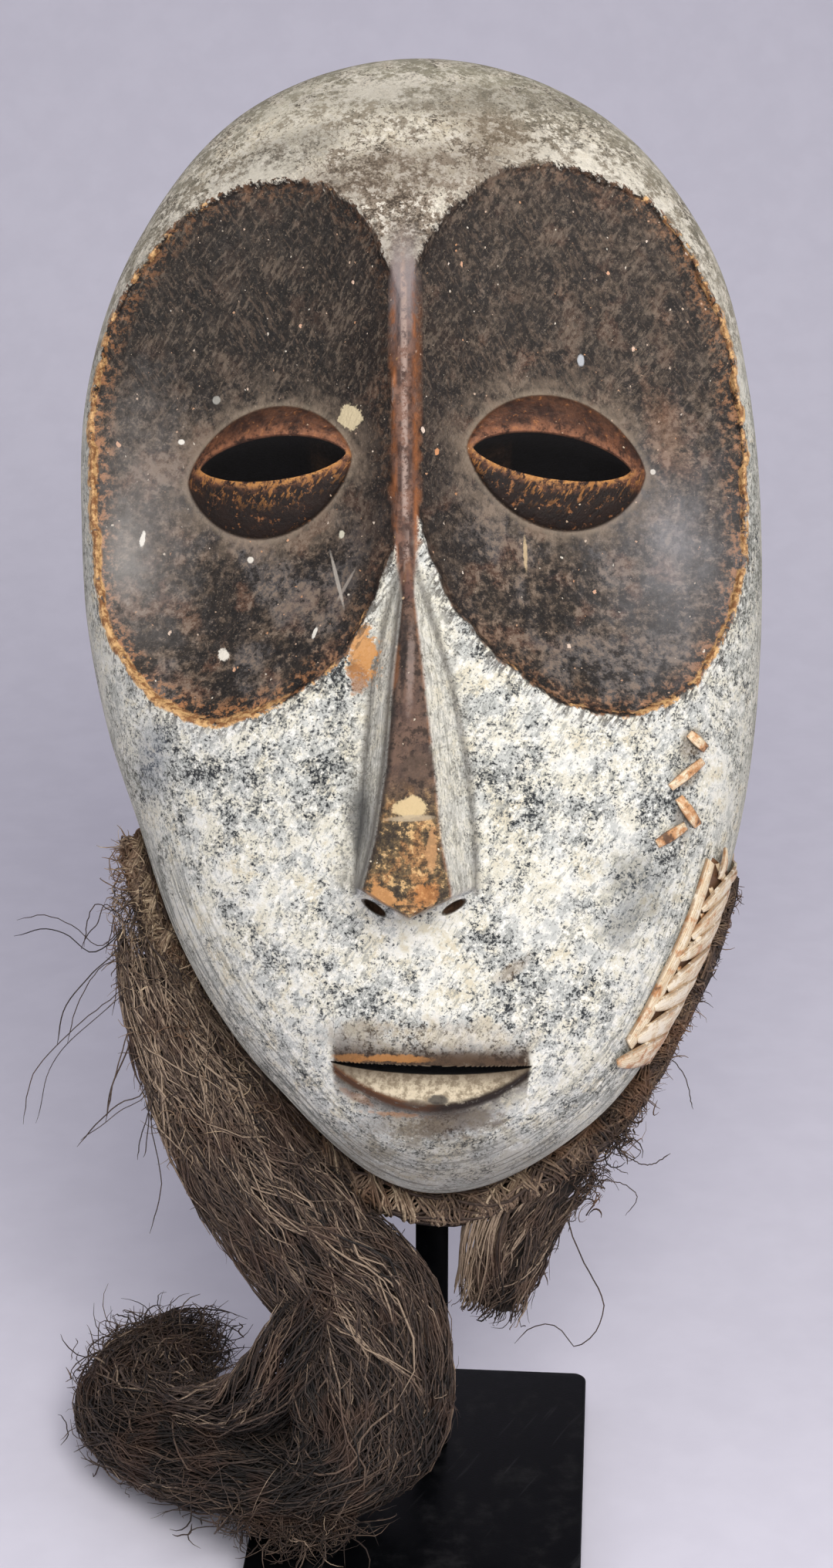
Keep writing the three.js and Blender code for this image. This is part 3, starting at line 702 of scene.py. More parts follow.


# stains and chips that are seen on the face, and patches of painted sheen, highlight and shade: x, h, half
# wide, half tall, turn, share, tone, ragged, soft
clayStains = [
    (-6, 152, 34, 9, 8, 0.55, (112, 98, 84), 5, 0.5), (26, 168, 16, 8, -30, 0.5, (120, 104, 84), 5, 0.5),
    (-48, 160, 22, 7, 24, 0.5, (104, 100, 92), 5, 0.5), (8, 182, 40, 6, 0, 0.5, (116, 110, 98), 5, 0.5),
    (20, 141, 14, 8, 60, 0.5, (104, 86, 68), 5, 0.5), (-34, 134, 9, 4, 0, 0.6, (168, 132, 92), 4, 0.4),
    (-23, -138.5, 12, 5, 6, 0.55, (112, 96, 76), 4, 0.5), (12, -138, 22, 5, -4, 0.35, (138, 116, 86), 5, 0.5),
    (-6.5, 120, 8, 15, 0, 0.6, (136, 126, 118), 6, 0.6), (60, 150, 24, 11, -34, 0.5, (232, 226, 212), 8, 0.5),
    (-66, 146, 18, 7, 34, 0.45, (228, 222, 208), 8, 0.5), (-14, 187, 20, 6, 10, 0.4, (230, 224, 212), 8, 0.5),
    (-20.5, -10, 4.6, 9.5, 12, 0.92, (204, 146, 84), 7, 0.2),
    (-21.5, -20, 3, 5, 0, 0.7, (160, 108, 64), 5, 0.2),
    (-21.5, -66, 4, 11, 4, 0.7, (66, 68, 70), 4, 0.5), (-17, 16, 7, 4, 30, 0.6, (92, 74, 60), 4, 0.4),
    (72, -88, 9, 12, 30, 0.45, (70, 76, 80), 5, 0.5), (66, -102, 6, 7, 0, 0.5, (84, 90, 96), 5, 0.5),
    (14, -184, 34, 12, 0, 0.5, (92, 86, 76), 6, 0.6), (-22, -180, 14, 8, 20, 0.4, (104, 98, 84), 6, 0.6),
    (91, -41, 4, 5, 0, 0.6, (96, 78, 56), 4, 0.4), (89, -52, 5, 3, 30, 0.5, (104, 86, 62), 4, 0.4),
    (88, -66, 4, 6, 0, 0.6, (84, 70, 54), 4, 0.4), (30, -116, 7, 2.4, 40, 0.5, (128, 108, 84), 4, 0.4),
    (-92, -46, 6, 12, 0, 0.4, (96, 106, 124), 5, 0.5),
]
waxStainsShadeAndSheen = [
    # painted sheen: the first four rows are the lamps' reflection on the lower outer slopes of the sockets
    (-97, 34, 15, 36, 0, 0.36, (158, 152, 148), 2.5, 0.95),
    (-103, 22, 7, 15, 4, 0.24, (206, 204, 200), 2.5, 0.9),
    (86, 20, 22, 34, 0, 0.33, (150, 148, 150), 2.5, 0.95),
    (86, 29, 9, 14, 0, 0.17, (206, 206, 212), 2.5, 0.95),
    (-24.5, 68.5, 3.8, 4.0, 30, 0.95, (218, 202, 166), 4, 0.15),
    (34.4, 23, 0.7, 5.5, 2, 0.8, (208, 184, 146), 2.4, 0.3),
    (-67.7, -11, 1.9, 2.4, 0, 0.95, (232, 226, 214), 4, 0.15),
    (-97, 30, 0.9, 2.6, -14, 0.95, (236, 232, 224), 3, 0.2),
    (-27.5, 29.5, 1.1, 1.4, 0, 0.9, (214, 210, 190), 3, 0.2),
    (-29, 14, 0.6, 9, 14, 0.75, (188, 180, 170), 1, 0.3),
    (-26, 12, 0.5, 6, -30, 0.6, (170, 160, 150), 1, 0.3),
    (-36.4, -3.5, 0.7, 2.0, -20, 0.95, (236, 232, 222), 2, 0.2),
    (-59, 22, 1.1, 1.1, 0, 0.9, (236, 230, 218), 1, 0.2),
    (-71, 77.3, 1.3, 1.4, 0, 0.8, (170, 168, 160), 1, 0.2),
    (-83.4, 63.4, 1.2, 1.0, 0, 0.95, (240, 236, 226), 1, 0.2),
    (79, 53, 0.9, 0.9, 0, 0.9, (220, 214, 206), 0.8, 0.2),
    (53.8, 90.4, 1.2, 2, 0, 0.8, (196, 200, 206), 1.4, 0.2), (84, 66, 5, 14, 20, 0.2, (160, 112, 76), 7, 0.6),
    # painted shade in the deep of the sockets along the sides of the nose
    (-12, 6, 5, 15, -22, 0.6, (26, 20, 19), 4, 0.5), (16, -16, 4, 15, 34, 0.6, (34, 26, 24), 4, 0.5),
]
noseStainsShadeAndHighlight = [
    (-4, -62, 5.5, 3.4, 8, 0.95, (214, 190, 146), 2.6, 0.12),
    (-4, -65.5, 7.5, 1.0, 3, 0.8, (186, 168, 140), 1.6, 0.3),
    (-13, -91, 5.5, 3.4, -24, 0.8, (198, 142, 86), 6, 0.2),
    (2.5, -76, 1.6, 7, 0, 0.7, (190, 144, 98), 5, 0.25),
    (2, -90, 4, 3.5, 30, 0.6, (190, 124, 66), 6, 0.25),
    (-9.5, -17, 1.4, 8, -6, 0.3, (170, 110, 66), 3, 0.3), (-5, -30, 3, 9, 0, 0.3, (120, 92, 80), 4, 0.5),
    # painted highlight down the upper strip
    (-4.4, -17, 1.2, 12, -2, 0.4, (176, 156, 146), 3, 0.5),
    # painted shade with patina: a dark line down the left edge of the strip
    (-6.6, -14, 0.8, 14, -3, 0.7, (30, 20, 17), 3, 0.4),
    (-2, -48, 5, 4, 0, 0.4, (112, 90, 74), 4, 0.4),
]
mouthStains = [
    (-9, -145.8, 12, 1.2, 0, 0.6, (196, 136, 76), 5, 0.3),
    (-24, -146, 6, 1.4, 0, 0.7, (160, 112, 66), 4, 0.3),
    (12, -146, 12, 2.4, 0, 0.6, (82, 64, 50), 4, 0.4), (4.6, -159.6, 3.2, 1.7, 0, 0.85, (44, 42, 44), 3, 0.3),
    (-3, -161, 4, 1.2, 0, 0.6, (90, 82, 72), 3, 0.3), (-9, -165.4, 10, 0.9, -3, 0.5, (180, 122, 68), 7, 0.4),
    (-22, -160, 7, 1.3, -28, 0.5, (140, 94, 58), 6, 0.4), (12, -168, 14, 4.5, 4, 0.7, (74, 58, 46), 4, 0.4),
    (-8, -170, 16, 4, 0, 0.45, (112, 100, 84), 5, 0.5),
]


def clayTone(tree, fields, spot, socketEdge, up, deep):
    grain, strokeA, strokeB, plain, mottle, clouds, drifts, shadows = (fields[name] for name in (
        "grain", "strokeA", "strokeB", "plain", "mottle", "clouds", "drifts", "shadows"))
    rimPlace = read(tree, "rimPlace", True)
    rimGap = axis(tree, rimPlace, 0)
    # specks gather where the broad clouds are dark
    gather = sums(tree, "ADD", product(tree, drifts, 0.017), product(tree, clouds, 0.014))
    specks, patch, strokes = (sums(tree, "ADD", field, gather)
                              for field in (fields["specks"], mottle, strokeA))
    high = ramped(tree, up, 72, 128)
    clay = blended(tree, (mottle, 0.40, 0.60), (224, 220, 204), (245, 244, 238))
    clay = layered(tree, clay, [
        (0.6, (214, 202, 174), (mottle, 0.46, 0.38), (shadows, -0.6, 1.2)),
        (0.66, (170, 174, 172), (patch, 0.48, 0.60)),
        (0.6, (138, 141, 138), (strokes, 0.52, 0.60)),
        (0.7, (140, 142, 139), (specks, 0.505, 0.555)),
        (0.85, (80, 83, 84), (specks, 0.545, 0.585)),
        (0.8, (254, 252, 246), (grain, 0.44, 0.37)),
        (0.95, (38, 41, 46), (specks, 0.58, 0.61)),
        (0.55, (204, 190, 168), high),
        (0.8, (128, 112, 95), high, (patch, 0.48, 0.56)),
        (0.6, (98, 85, 72), high, (sums(tree, "ADD", strokeB, gather), 0.50, 0.58)),
        (0.85, (58, 49, 42), high, (specks, 0.525, 0.575)),
        (0.85, (244, 237, 224), high, (grain, 0.475, 0.405)),
        (0.5, (240, 234, 220), (socketEdge, 9, 1.5), (up, 92, 120), (mottle, 0.56, 0.42)),
    ])
    # fine lines that follow the edge of the jaw, and the clay greyer towards the rim
    lines, _ = grained(tree, rimPlace, 1.0, 3, 0.6, (1.0, 0.03, 1.0))
    jaw = product(tree, ramped(tree, rimGap, 34, 8), ramped(tree, up, -50, -100))
    clay = layered(tree, clay, [
        (0.7, (172, 169, 148), (deep, 70, 14), (mottle, 0.34, 0.60)),
        (0.65, (96, 98, 92), jaw, (lines, 0.5, 0.6)),
        (0.55, (132, 127, 110), (deep, 34, 6), (lines, 0.44, 0.56)),
    ])
    # streaks down the sides of the nose, and dark lines of painted shade along the left edge of its strip and
    # in the creases at its feet
    flank = read(tree, "flank")
    leftward = ramped(tree, axis(tree, spot, 0), -5, -8)
    clay = layered(tree, clay, [
        (0.4, (228, 222, 206), flank),
        # painted shade with patina: a dark line along the left edge of the nose's strip
        (0.85, (56, 44, 36), flank, (read(tree, "stripGap"), 3.0, 0.4), leftward),
        (0.5, (120, 118, 108), flank, (plain, 0.49, 0.62)),
        # painted shade in the creases at the feet of the nose
        (0.6, (84, 80, 74), (read(tree, "feetGap"), 2.2, 0.2)),
    ])
    clay = patchedOver(tree, spot, fields["torn"], clay, clayStains)
    # the lips: brown along the upper, a pale slope below the slit with painted shadow at the slit, and dark
    # patina with painted shade under it
    below, lipGap, bow = (read(tree, name) for name in ("below", "lipGap", "bow"))
    here = ramped(tree, bow, 0.0, 0.12)
    upper = product(tree, here, ramped(tree, below, -10, -2.0), ramped(tree, below, 1.0, 0.0))
    clay = layered(tree, clay, [
        (0.98, (68, 49, 34), upper, (mottle, 0.12, 0.38)),
        (0.8, (50, 39, 31), upper, (grain, 0.49, 0.57)),
        # dark patina and painted shade under the lower lip's edge
        (0.9, (70, 59, 47), here, (below, -0.5, 1.0), (lipGap, 13, 1.0), (mottle, 0.26, 0.54)),
    ])
    slope = blended(tree, (grain, 0.42, 0.6), (216, 202, 176), (150, 136, 114))
    # painted shadow of the upper lip on the slope, darkest at the slit
    slope = layered(tree, slope, [(0.85, (84, 70, 57), (below, 9, 1.5))])
    clay = mixed(tree, read(tree, "lip"), clay, slope)
    edge = sums(tree, "ABSOLUTE", sums(tree, "ADD", lipGap, -0.6))
    edge = product(tree, here, ramped(tree, edge, 2.6, 0.8))
    rightward = ramped(tree, axis(tree, spot, 0), -4, 8)
    edgeTone = mixed(tree, rightward, shade(96, 64, 42), shade(44, 33, 27))
    clay = mixed(tree, product(tree, edge, ramped(tree, grain, 0.28, 0.46)), clay, edgeTone)
    return patchedOver(tree, spot, fields["torn"], clay, mouthStains)


def waxTone(tree, fields, spot, up, lidEdge, slitEdge):
    grain, strokeA, strokeB, grit, mottle, shadows, drifts = (fields[name] for name in (
        "grain", "strokeA", "strokeB", "grit", "mottle", "shadows", "drifts"))
    gather = sums(tree, "ADD", product(tree, drifts, 0.028), product(tree, shadows, 0.022))
    dark, leftward = sums(tree, "SUBTRACT", grain, gather), axis(tree, spot, 0)
    top = ramped(tree, up, 48, 104)
    hairy = ramped(tree, up, 10, 90, 0.1, 0.8)  # brush strokes show most in the upper part
    bridge = ramped(tree, read(tree, "ridgeGap"), 30, 5)
    wax = blended(tree, (mottle, 0.42, 0.58), (38, 32, 30), (88, 74, 62))
    wax = layered(tree, wax, [
        (0.5, (104, 70, 52), (drifts, 0.3, 1.7)),
        # painted light: greyer, paler clouds in the lower part of the sockets, where the dish faces up
        (0.55, (104, 100, 100), (shadows, 0.1, 1.6), (up, 60, 20)),
        (0.85, (19, 15, 14), (dark, 0.485, 0.56)),
        (0.65, (142, 124, 108), (dark, 0.46, 0.38)),
        # painted shade: darker at the top of each socket, most on the left, and darkest in the deep beside
        # the nose bridge
        (0.55, (40, 33, 28), top, (shadows, -2.4, 0.4)),
        (0.62, (22, 18, 15), top, (leftward, 6, -24)),
        (0.85, (30, 22, 19), bridge, (shadows, -2.2, 0.6)),
        (0.5, (140, 124, 108), (lidEdge, 13, 0.5), (mottle, 0.34, 0.60)),
        (0.45, (136, 120, 104), hairy, (sums(tree, "ADD", strokeA, gather), 0.54, 0.66)),
        (0.4, (122, 102, 86), hairy, (sums(tree, "SUBTRACT", strokeB, gather), 0.55, 0.68)),
        (0.6, (22, 19, 17), hairy, (strokeB, 0.45, 0.36)),
        (0.4, (140, 124, 108), (grit, 0.58, 0.66)),
        (0.5, (160, 144, 126), (lidEdge, 2.8, 0.5), (grain, 0.36, 0.56)),
    ])
    wax = flecked(tree, spot, fields["wander"], wax, 0.5, 0.17, 0.24, (200, 146, 104), (230, 224, 210),
                  strength=0.85)
    wax = flecked(tree, spot, fields["wander"], wax, 0.22, 0.15, 0.22, (206, 140, 92), (236, 230, 218),
                  (1.0, 0.7, 1.0))
    rim = sums(tree, "ABSOLUTE", read(tree, "socketGap"))
    wax = layered(tree, wax, [(0.8, (188, 126, 76), (rim, 11, 1), read(tree, "worn"), (grain, 0.50, 0.43))])
    wax = patchedOver(tree, spot, fields["torn"], wax, waxStainsShadeAndSheen)
    rise = read(tree, "lidRise")
    lid = blended(tree, (mottle, 0.40, 0.60), (58, 35, 26), (112, 70, 48))
    lower = ramped(tree, rise, 2, -3)
    lid = layered(tree, lid, [
        # painted shade: the lower lid darkens to near black towards its bottom, where it faces down
        (0.93, (20, 13, 9), (rise, -1.5, -9)),
        (0.6, (34, 22, 17), (grain, 0.50, 0.60)),
        (0.6, (66, 47, 37), (rise, 5, 17), (mottle, 0.36, 0.6)),
        # wear and painted highlight: paler lid edges along the slit
        (0.62, (164, 110, 80), (slitEdge, 5.5, 0.6), (grain, 0.62, 0.42)),
        (0.75, (212, 152, 80), lower, (slitEdge, 3.6, 0.3), (grain, 0.56, 0.44)),
        (0.75, (172, 116, 60), lower, (slitEdge, 12, 3), (strokeA, 0.54, 0.60)),
        (0.6, (178, 118, 72), (grain, 0.42, 0.35)),
    ])
    lid = flecked(tree, spot, fields["wander"], lid, 0.5, 0.2, 0.14, (190, 124, 72), (232, 214, 186),
                  strength=0.8)
    return mixed(tree, ramped(tree, lidEdge, 0.3, -0.5), wax, lid)


def ridgeTone(tree, fields, spot, up):
    grain, mottle = fields["grain"], fields["mottle"]
    ridge = blended(tree, (mottle, 0.40, 0.60), (72, 50, 42), (126, 92, 76))
    ridge = layered(tree, ridge, [
        (0.6, (60, 44, 39), (grain, 0.50, 0.60)),
        (0.8, (146, 136, 136), (up, 84, 112)),
    ])
    sides = product(tree, ramped(tree, read(tree, "ridgeGap"), 2.0, 3.6), ramped(tree, up, 124, 100))
    ridge = layered(tree, ridge, [
        (0.75, (182, 114, 68), sides, (mottle, 0.60, 0.42)),
        # painted highlight along the top of the ridge
        (0.72, (186, 162, 150), (read(tree, "ridgeGap"), 1.5, 0.4), (grain, 0.42, 0.56)),
    ])
    strip = blended(tree, (mottle, 0.40, 0.60), (62, 47, 42), (108, 84, 70))
    low, stripEdge = ramped(tree, up, -50, -70), sums(tree, "ABSOLUTE", read(tree, "stripGap"))
    strip = layered(tree, strip, [
        (0.7, (118, 82, 70), (up, -2, 14)),
        (0.8, (112, 92, 60), low),
        (0.66, (186, 134, 84), low, (mottle, 0.49, 0.42)),
        (0.75, (58, 50, 38), low, (mottle, 0.52, 0.58)),
        (0.75, (36, 28, 24), (grain, 0.50, 0.58)),
        (0.85, (224, 184, 128), low, (grain, 0.46, 0.39)),
        (0.7, (40, 34, 28), low, (fields["grit"], 0.57, 0.63)),
        (0.6, (158, 108, 70), (stripEdge, 1.3, 0.2), (mottle, 0.42, 0.58)),
        # painted shade with patina: a dark line down the strip's left edge
        (0.88, (28, 20, 16), (stripEdge, 2.6, 0.6), (axis(tree, spot, 0), -5, -8)),
    ])
    strip = flecked(tree, spot, fields["wander"], strip, 0.5, 0.2, 0.16, (206, 172, 130), (232, 222, 200),
                    strength=0.8)
    return ridge, patchedOver(tree, spot, fields["torn"], strip, noseStainsShadeAndHighlight)


def carvedFinish():
    material, tree, surface = newFinish("clay_and_wax", 0.7, Specular_IOR_Level=0.34)
    spot = read(tree, "place", True)
    socketEdge, lidEdge, slitEdge = (read(tree, name) for name in ("socketGap", "lidGap", "slitGap"))
    up, deep = place(tree, "SeparateXYZ", {0: spot}).outputs[1:]
    fields = {name: read(tree, name) for name in ("clouds", "drifts", "shadows")}
    fields["grain"], fields["wander"] = grained(tree, spot, 0.36, 6, 0.74)
    fields["grit"], _ = grained(tree, spot, 1.1, 3, 0.7)
    fields["mottle"], _ = grained(tree, spot, 0.12, 5, 0.7)
    fields["specks"] = leaned(tree, 0.5, fields["grit"], fields["grain"])
    fields["strokeA"], _ = grained(tree, spot, 0.75, 4, 0.62, (1.0, 0.24, 1.0), 0.6)
    fields["strokeB"], _ = grained(tree, spot, 0.85, 4, 0.62, (1.0, 0.2, 1.0), -0.55)
    fields["plain"], _ = grained(tree, spot, 0.9, 4, 0.6, (1.0, 0.07, 1.0))
    fields["torn"] = sums(tree, "SUBTRACT", leaned(tree, 0.5, fields["grain"], fields["mottle"]), 0.5)
    grain, mottle = fields["grain"], fields["mottle"]
    clay = clayTone(tree, fields, spot, socketEdge, up, deep)
    wax = waxTone(tree, fields, spot, up, lidEdge, slitEdge)
    ridge, strip = ridgeTone(tree, fields, spot, up)

    # the dark of the sockets frays out over the clay in short strokes, most at the top
    strokes = sums(tree, "MULTIPLY", sums(tree, "ADD", fields["strokeB"], grain), 0.5)
    strokes = sums(tree, "SUBTRACT", strokes, 0.5)
    frayed = sums(tree, "MULTIPLY_ADD", strokes, ramped(tree, up, 70, 120, 5, 16), socketEdge)
    inSocket = ramped(tree, frayed, 1.1, 0.1)
    worn = read(tree, "worn")
    wornHere = ramped(tree, sums(tree, "MULTIPLY_ADD", worn, 0.3, mottle), 0.66, 0.70)
    wavy = sums(tree, "MULTIPLY_ADD", strokes, 5.0, socketEdge)
    wavy = sums(tree, "DIVIDE", sums(tree, "ABSOLUTE", wavy), leaned(tree, worn, 0.7, 2.2))
    rimLine = product(tree, wornHere, ramped(tree, wavy, 1.0, 0.6))
    rimTone = blended(tree, (grain, 0.42, 0.58), (226, 182, 126), (142, 98, 62))
    bareWoodAndShade = blended(tree, (mottle, 0.40, 0.60), (52, 37, 28), (96, 71, 53))
    bareWoodAndShade = layered(tree, bareWoodAndShade, [(0.5, (38, 27, 21), (fields["plain"], 0.5, 0.62))])
    # painted shade: the walls inside the eye slits and the mouth near black
    bareWoodAndShade = mixed(tree, read(tree, "slitWall"), bareWoodAndShade, shade(11, 8, 7))

    # dirt in the clay just outside the sockets
    grime = product(tree, ramped(tree, socketEdge, 8, 0.5), ramped(tree, up, 70, 10),
                    ramped(tree, fields["strokeA"], 0.46, 0.58), 0.7)
    colour = mixed(tree, grime, clay, shade(66, 60, 54))
    for over, tone in ((inSocket, wax), (read(tree, "ridge"), ridge), (read(tree, "strip"), strip),
                       (rimLine, rimTone), (read(tree, "bareWoodAndShade"), bareWoodAndShade)):
        colour = mixed(tree, over, colour, tone)
    waxed = sums(tree, "MAXIMUM", inSocket, sums(tree, "MAXIMUM", read(tree, "ridge"), read(tree, "strip")))
    waxed = product(tree, waxed, sums(tree, "SUBTRACT", 1.0, read(tree, "bareWoodAndShade")))
    sheen = leaned(tree, ramped(tree, grain, 0.35, 0.65), 0.28, 0.62)
    height = sums(tree, "ADD", grain, sums(tree, "MULTIPLY", fields["strokeA"], 0.6))
    dressed(tree, surface, colour, leaned(tree, waxed, 0.84, sheen), height, 0.8, 0.0009)
    return material


def settled(piece, node):
    # the piece stands for a node of the frame
    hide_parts(node)
    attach(piece, "root")
    return piece


mask.data.materials.clear()
mask.data.materials.append(carvedFinish())
mask.data.set_sharp_from_angle(angle=math.radians(42))
settled(mask, "mask")
print("face painted")


# fibre: strands are poly curves with a flat three-sided section, made into one mesh
strand = {  # half sizes in mm, the share of them at the ends, and the widths of short strands
    "width": 0.42, "thick": 0.28, "ends": 0.35, "short": (0.5, 1.25),
    "crossing": 0.11}  # share of the short strands that cross over the others


def strandProfile():
    curve = bpy.data.curves.new("strand_profile", "CURVE")
    curve.dimensions = "2D"
    spline = curve.splines.new("POLY")
    spline.points.add(2)
    for point, (x, y) in zip(spline.points, ((-1, -0.6), (1, -0.6), (0, 1))):
        point.co = (x * strand["width"] / 1000, y * strand["thick"] / 1000, 0, 1)
    spline.use_cyclic_u = True
    profile = added("strand_profile", curve)
    profile.hide_render = True
    return profile


profile = strandProfile()


def strandsPiece(name, node, paths, widths, tones, finish):
    # paths in mm: strands x points x 3; widths: least and most; tones: one for each strand, one for each
    # of its points, or a tuple of their middle and spread
    count, steps, _ = paths.shape
    widths = spread.uniform(*widths, count)
    if isinstance(tones, tuple):
        tones = spread.normal(*tones, count)
    curve = bpy.data.curves.new(name, "CURVE")
    curve.dimensions, curve.bevel_mode, curve.bevel_object = "3D", "OBJECT", profile
    curve.use_fill_caps = False
    taper = np.clip(np.minimum(np.arange(steps) + 1, steps - np.arange(steps)) / 3, strand["ends"], 1)
    for path, width in zip(paths / 1000, widths):
        spline = curve.splines.new("POLY")
        spline.points.add(steps - 1)
        spline.points.foreach_set("co", np.hstack([path, np.ones((steps, 1))]).ravel())
        spline.points.foreach_set("radius", taper * width)
    drawn = added(name + "_curve", curve)
    bpy.context.view_layer.update()
    mesh = bpy.data.meshes.new_from_object(drawn.evaluated_get(bpy.context.evaluated_depsgraph_get()))
    bpy.data.objects.remove(drawn)
    bm = bmesh.new()
    bm.from_mesh(mesh)
    bmesh.ops.holes_fill(bm, edges=[edge for edge in bm.edges if edge.is_boundary], sides=3)
    bmesh.ops.recalc_face_normals(bm, faces=bm.faces)
    bm.to_mesh(mesh)
    bm.free()
    piece = added(name, mesh)
    mesh.shade_smooth()
    mesh.materials.clear()
    mesh.materials.append(finish)
    tones = np.clip(np.broadcast_to(np.reshape(tones, (count, -1)), (count, steps)), 0, 1)
    mark(piece, "tone", np.repeat(tones.ravel(), len(mesh.vertices) // (count * steps)))
    print(name, "laid:", len(mesh.polygons), "faces")
    return settled(piece, node)


def each(low, high, count):
    # one draw for each strand, as a column
    return spread.uniform(low, high, (count, 1))


def evenly(first, last, steps):
    return np.linspace(first, last, steps)[None]


def drift(count, steps, waves, lengths):
    # smooth sideways sway of each strand: waves is [(wavelength mm, amplitude mm)]
    walk = evenly(0, 1, steps) * np.reshape(lengths, (-1, 1))
    sway = np.zeros((count, steps))
    for wave, size in waves:
        swing = each(0.7, 1.4, count)
        sway += size * each(0.3, 1.4, count) * np.sin(
            2 * math.pi * (walk / (wave * swing) + each(0, 1, count)))
    return sway


def fibreFinish(name, tones):
    # tones from the darkest to the lightest
    material, tree, surface = newFinish(name, 0.72)
    tone = read(tree, "tone")
    spot = objectPlace(tree)
    fine, _ = grained(tree, spot, 700, 3, 0.7)
    broad, _ = grained(tree, spot, 55, 3, 0.6)
    shifted = sums(tree, "ADD", tone, sums(tree, "MULTIPLY", sums(tree, "SUBTRACT", fine, 0.5), 0.7))
    colour = mixed(tree, ramped(tree, shifted, 0.0, 0.36), shade(*tones[0]), shade(*tones[1]))
    colour = mixed(tree, ramped(tree, shifted, 0.34, 0.66), colour, shade(*tones[2]))
    colour = mixed(tree, ramped(tree, shifted, 0.68, 1.0), colour, shade(*tones[3]))
    reddish = product(tree, ramped(tree, broad, 0.5, 0.64), 0.35)
    dressed(tree, surface, mixed(tree, reddish, colour, shade(*tones[4])),
            leaned(tree, ramped(tree, fine, 0.3, 0.7), 0.85, 0.6), fine, 0.4, 0.0002)
    return material


raffia = fibreFinish("brown_raffia", [(20, 15, 13), (56, 44, 38), (94, 77, 65), (158, 138, 118),
                                      (86, 60, 46)])
plaitFibre = fibreFinish("plaited_fibre",
                         [(28, 21, 18), (78, 61, 50), (130, 108, 88), (206, 184, 154), (136, 96, 66)])

band = {"from": 216, "to": 321, "clear": 0.6, "ends": 4, "middle": 7.6, "depth": 6.5, "back": 2,
        "knots": 42, "threads": 10, "loop": 15, "cords": 26, "under": 16, "slim": 0.74, "slimRight": 0.52}
hank = {
    "sections": [  # middle, half widths in the plane of the bend and across it, heading
        ((-105, 57, 247), (3.5, 3), 0), ((-102, 45, 226), (9, 6), 0), ((-93, 32, 196), (15, 9), 0),
        ((-77, 20, 166), (22, 12), 0), ((-58, 9, 138), (27, 14), 0), ((-39, 0, 114), (28, 15), 0),
        ((-20.5, -8, 92), (28.5, 15.5), 0), ((-18, -15, 70), (30, 18), 0), ((-22, -20, 50), (29, 23), 0),
        ((-38, -18, 34), (19, 28), -8), ((-60, -8, 30), (16, 30), -22), ((-82, 7, 24), (17, 30), -40),
        ((-102, 30, 20), (17, 28), -66), ((-107, 56, 19), (16, 25), -96), ((-97, 78, 18), (15, 21), -128),
        ((-82, 91, 17), (13, 17), -150), ((-70, 95, 15), (9, 11), -164)],
    "locks": 130, "roots": (0.16, 0.45), "rooted": 520, "points": 30, "last": 0.97,
    "short": 4600, "shortPoints": 11, "shortLength": (28, 88), "shortFrom": 0.06, "heart": 0.72,
    "tone": 0.40, "shade": 0.34, "glow": 0.26,
}
tuft = {
    "sections": [((62, 22, 170), (12, 6), 0), ((56, 17, 150), (18, 9), 0), ((40, 12, 122), (13.5, 10), 0),
                 ((31, 10, 98), (13, 9), 0), ((25, 9, 80), (12.5, 7), 0)],
    "locks": 30, "roots": (0.55, 0.665), "rooted": 260, "points": 18, "last": 1.0,
    "short": 620, "shortPoints": 10, "shortLength": (16, 44), "shortFrom": 0.3, "heart": 0.6, "tone": 0.55,
    "shade": 0, "glow": 0,
}


bend = {
    "sections": [((-32, -10, 112), (9, 8), 0), ((-42, -13, 88), (13, 11), 0), ((-52, -13, 66), (15, 14), 0),
                 ((-68, -5, 47), (14, 15), 0), ((-88, 10, 36), (11, 11), 0), ((-101, 32, 30), (7, 8), 0)],
    "locks": 26, "short": 440, "shortPoints": 11, "shortLength": (38, 86), "shortFrom": 0.0, "last": 1.0,
    "tone": 0.34, "shade": 0, "glow": 0,
}


def bandPlace(part, turn, grow=1.0):
    angle = np.radians(band["from"] + (band["to"] - band["from"]) * part)
    half = band["ends"] + (band["middle"] - band["ends"]) * np.sin(np.clip(part, 0, 1) * math.pi) ** 0.6
    slim = between([(0, 1), (0.3, 1), (0.45, band["slim"]), (0.7, band["slim"]), (0.84, band["slimRight"]),
                    (1, band["slimRight"])], np.clip(part, 0, 1))
    half, grow = half * slim, grow * (1 + 0.5 * (1 - slim))
    reach = outlineAt(angle) + band["clear"] + half * (1 + grow * np.cos(turn))
    depth = band["back"] - np.sin(turn) * band["depth"] * grow
    return onFace(*polar(reach, angle), depth) * 1000


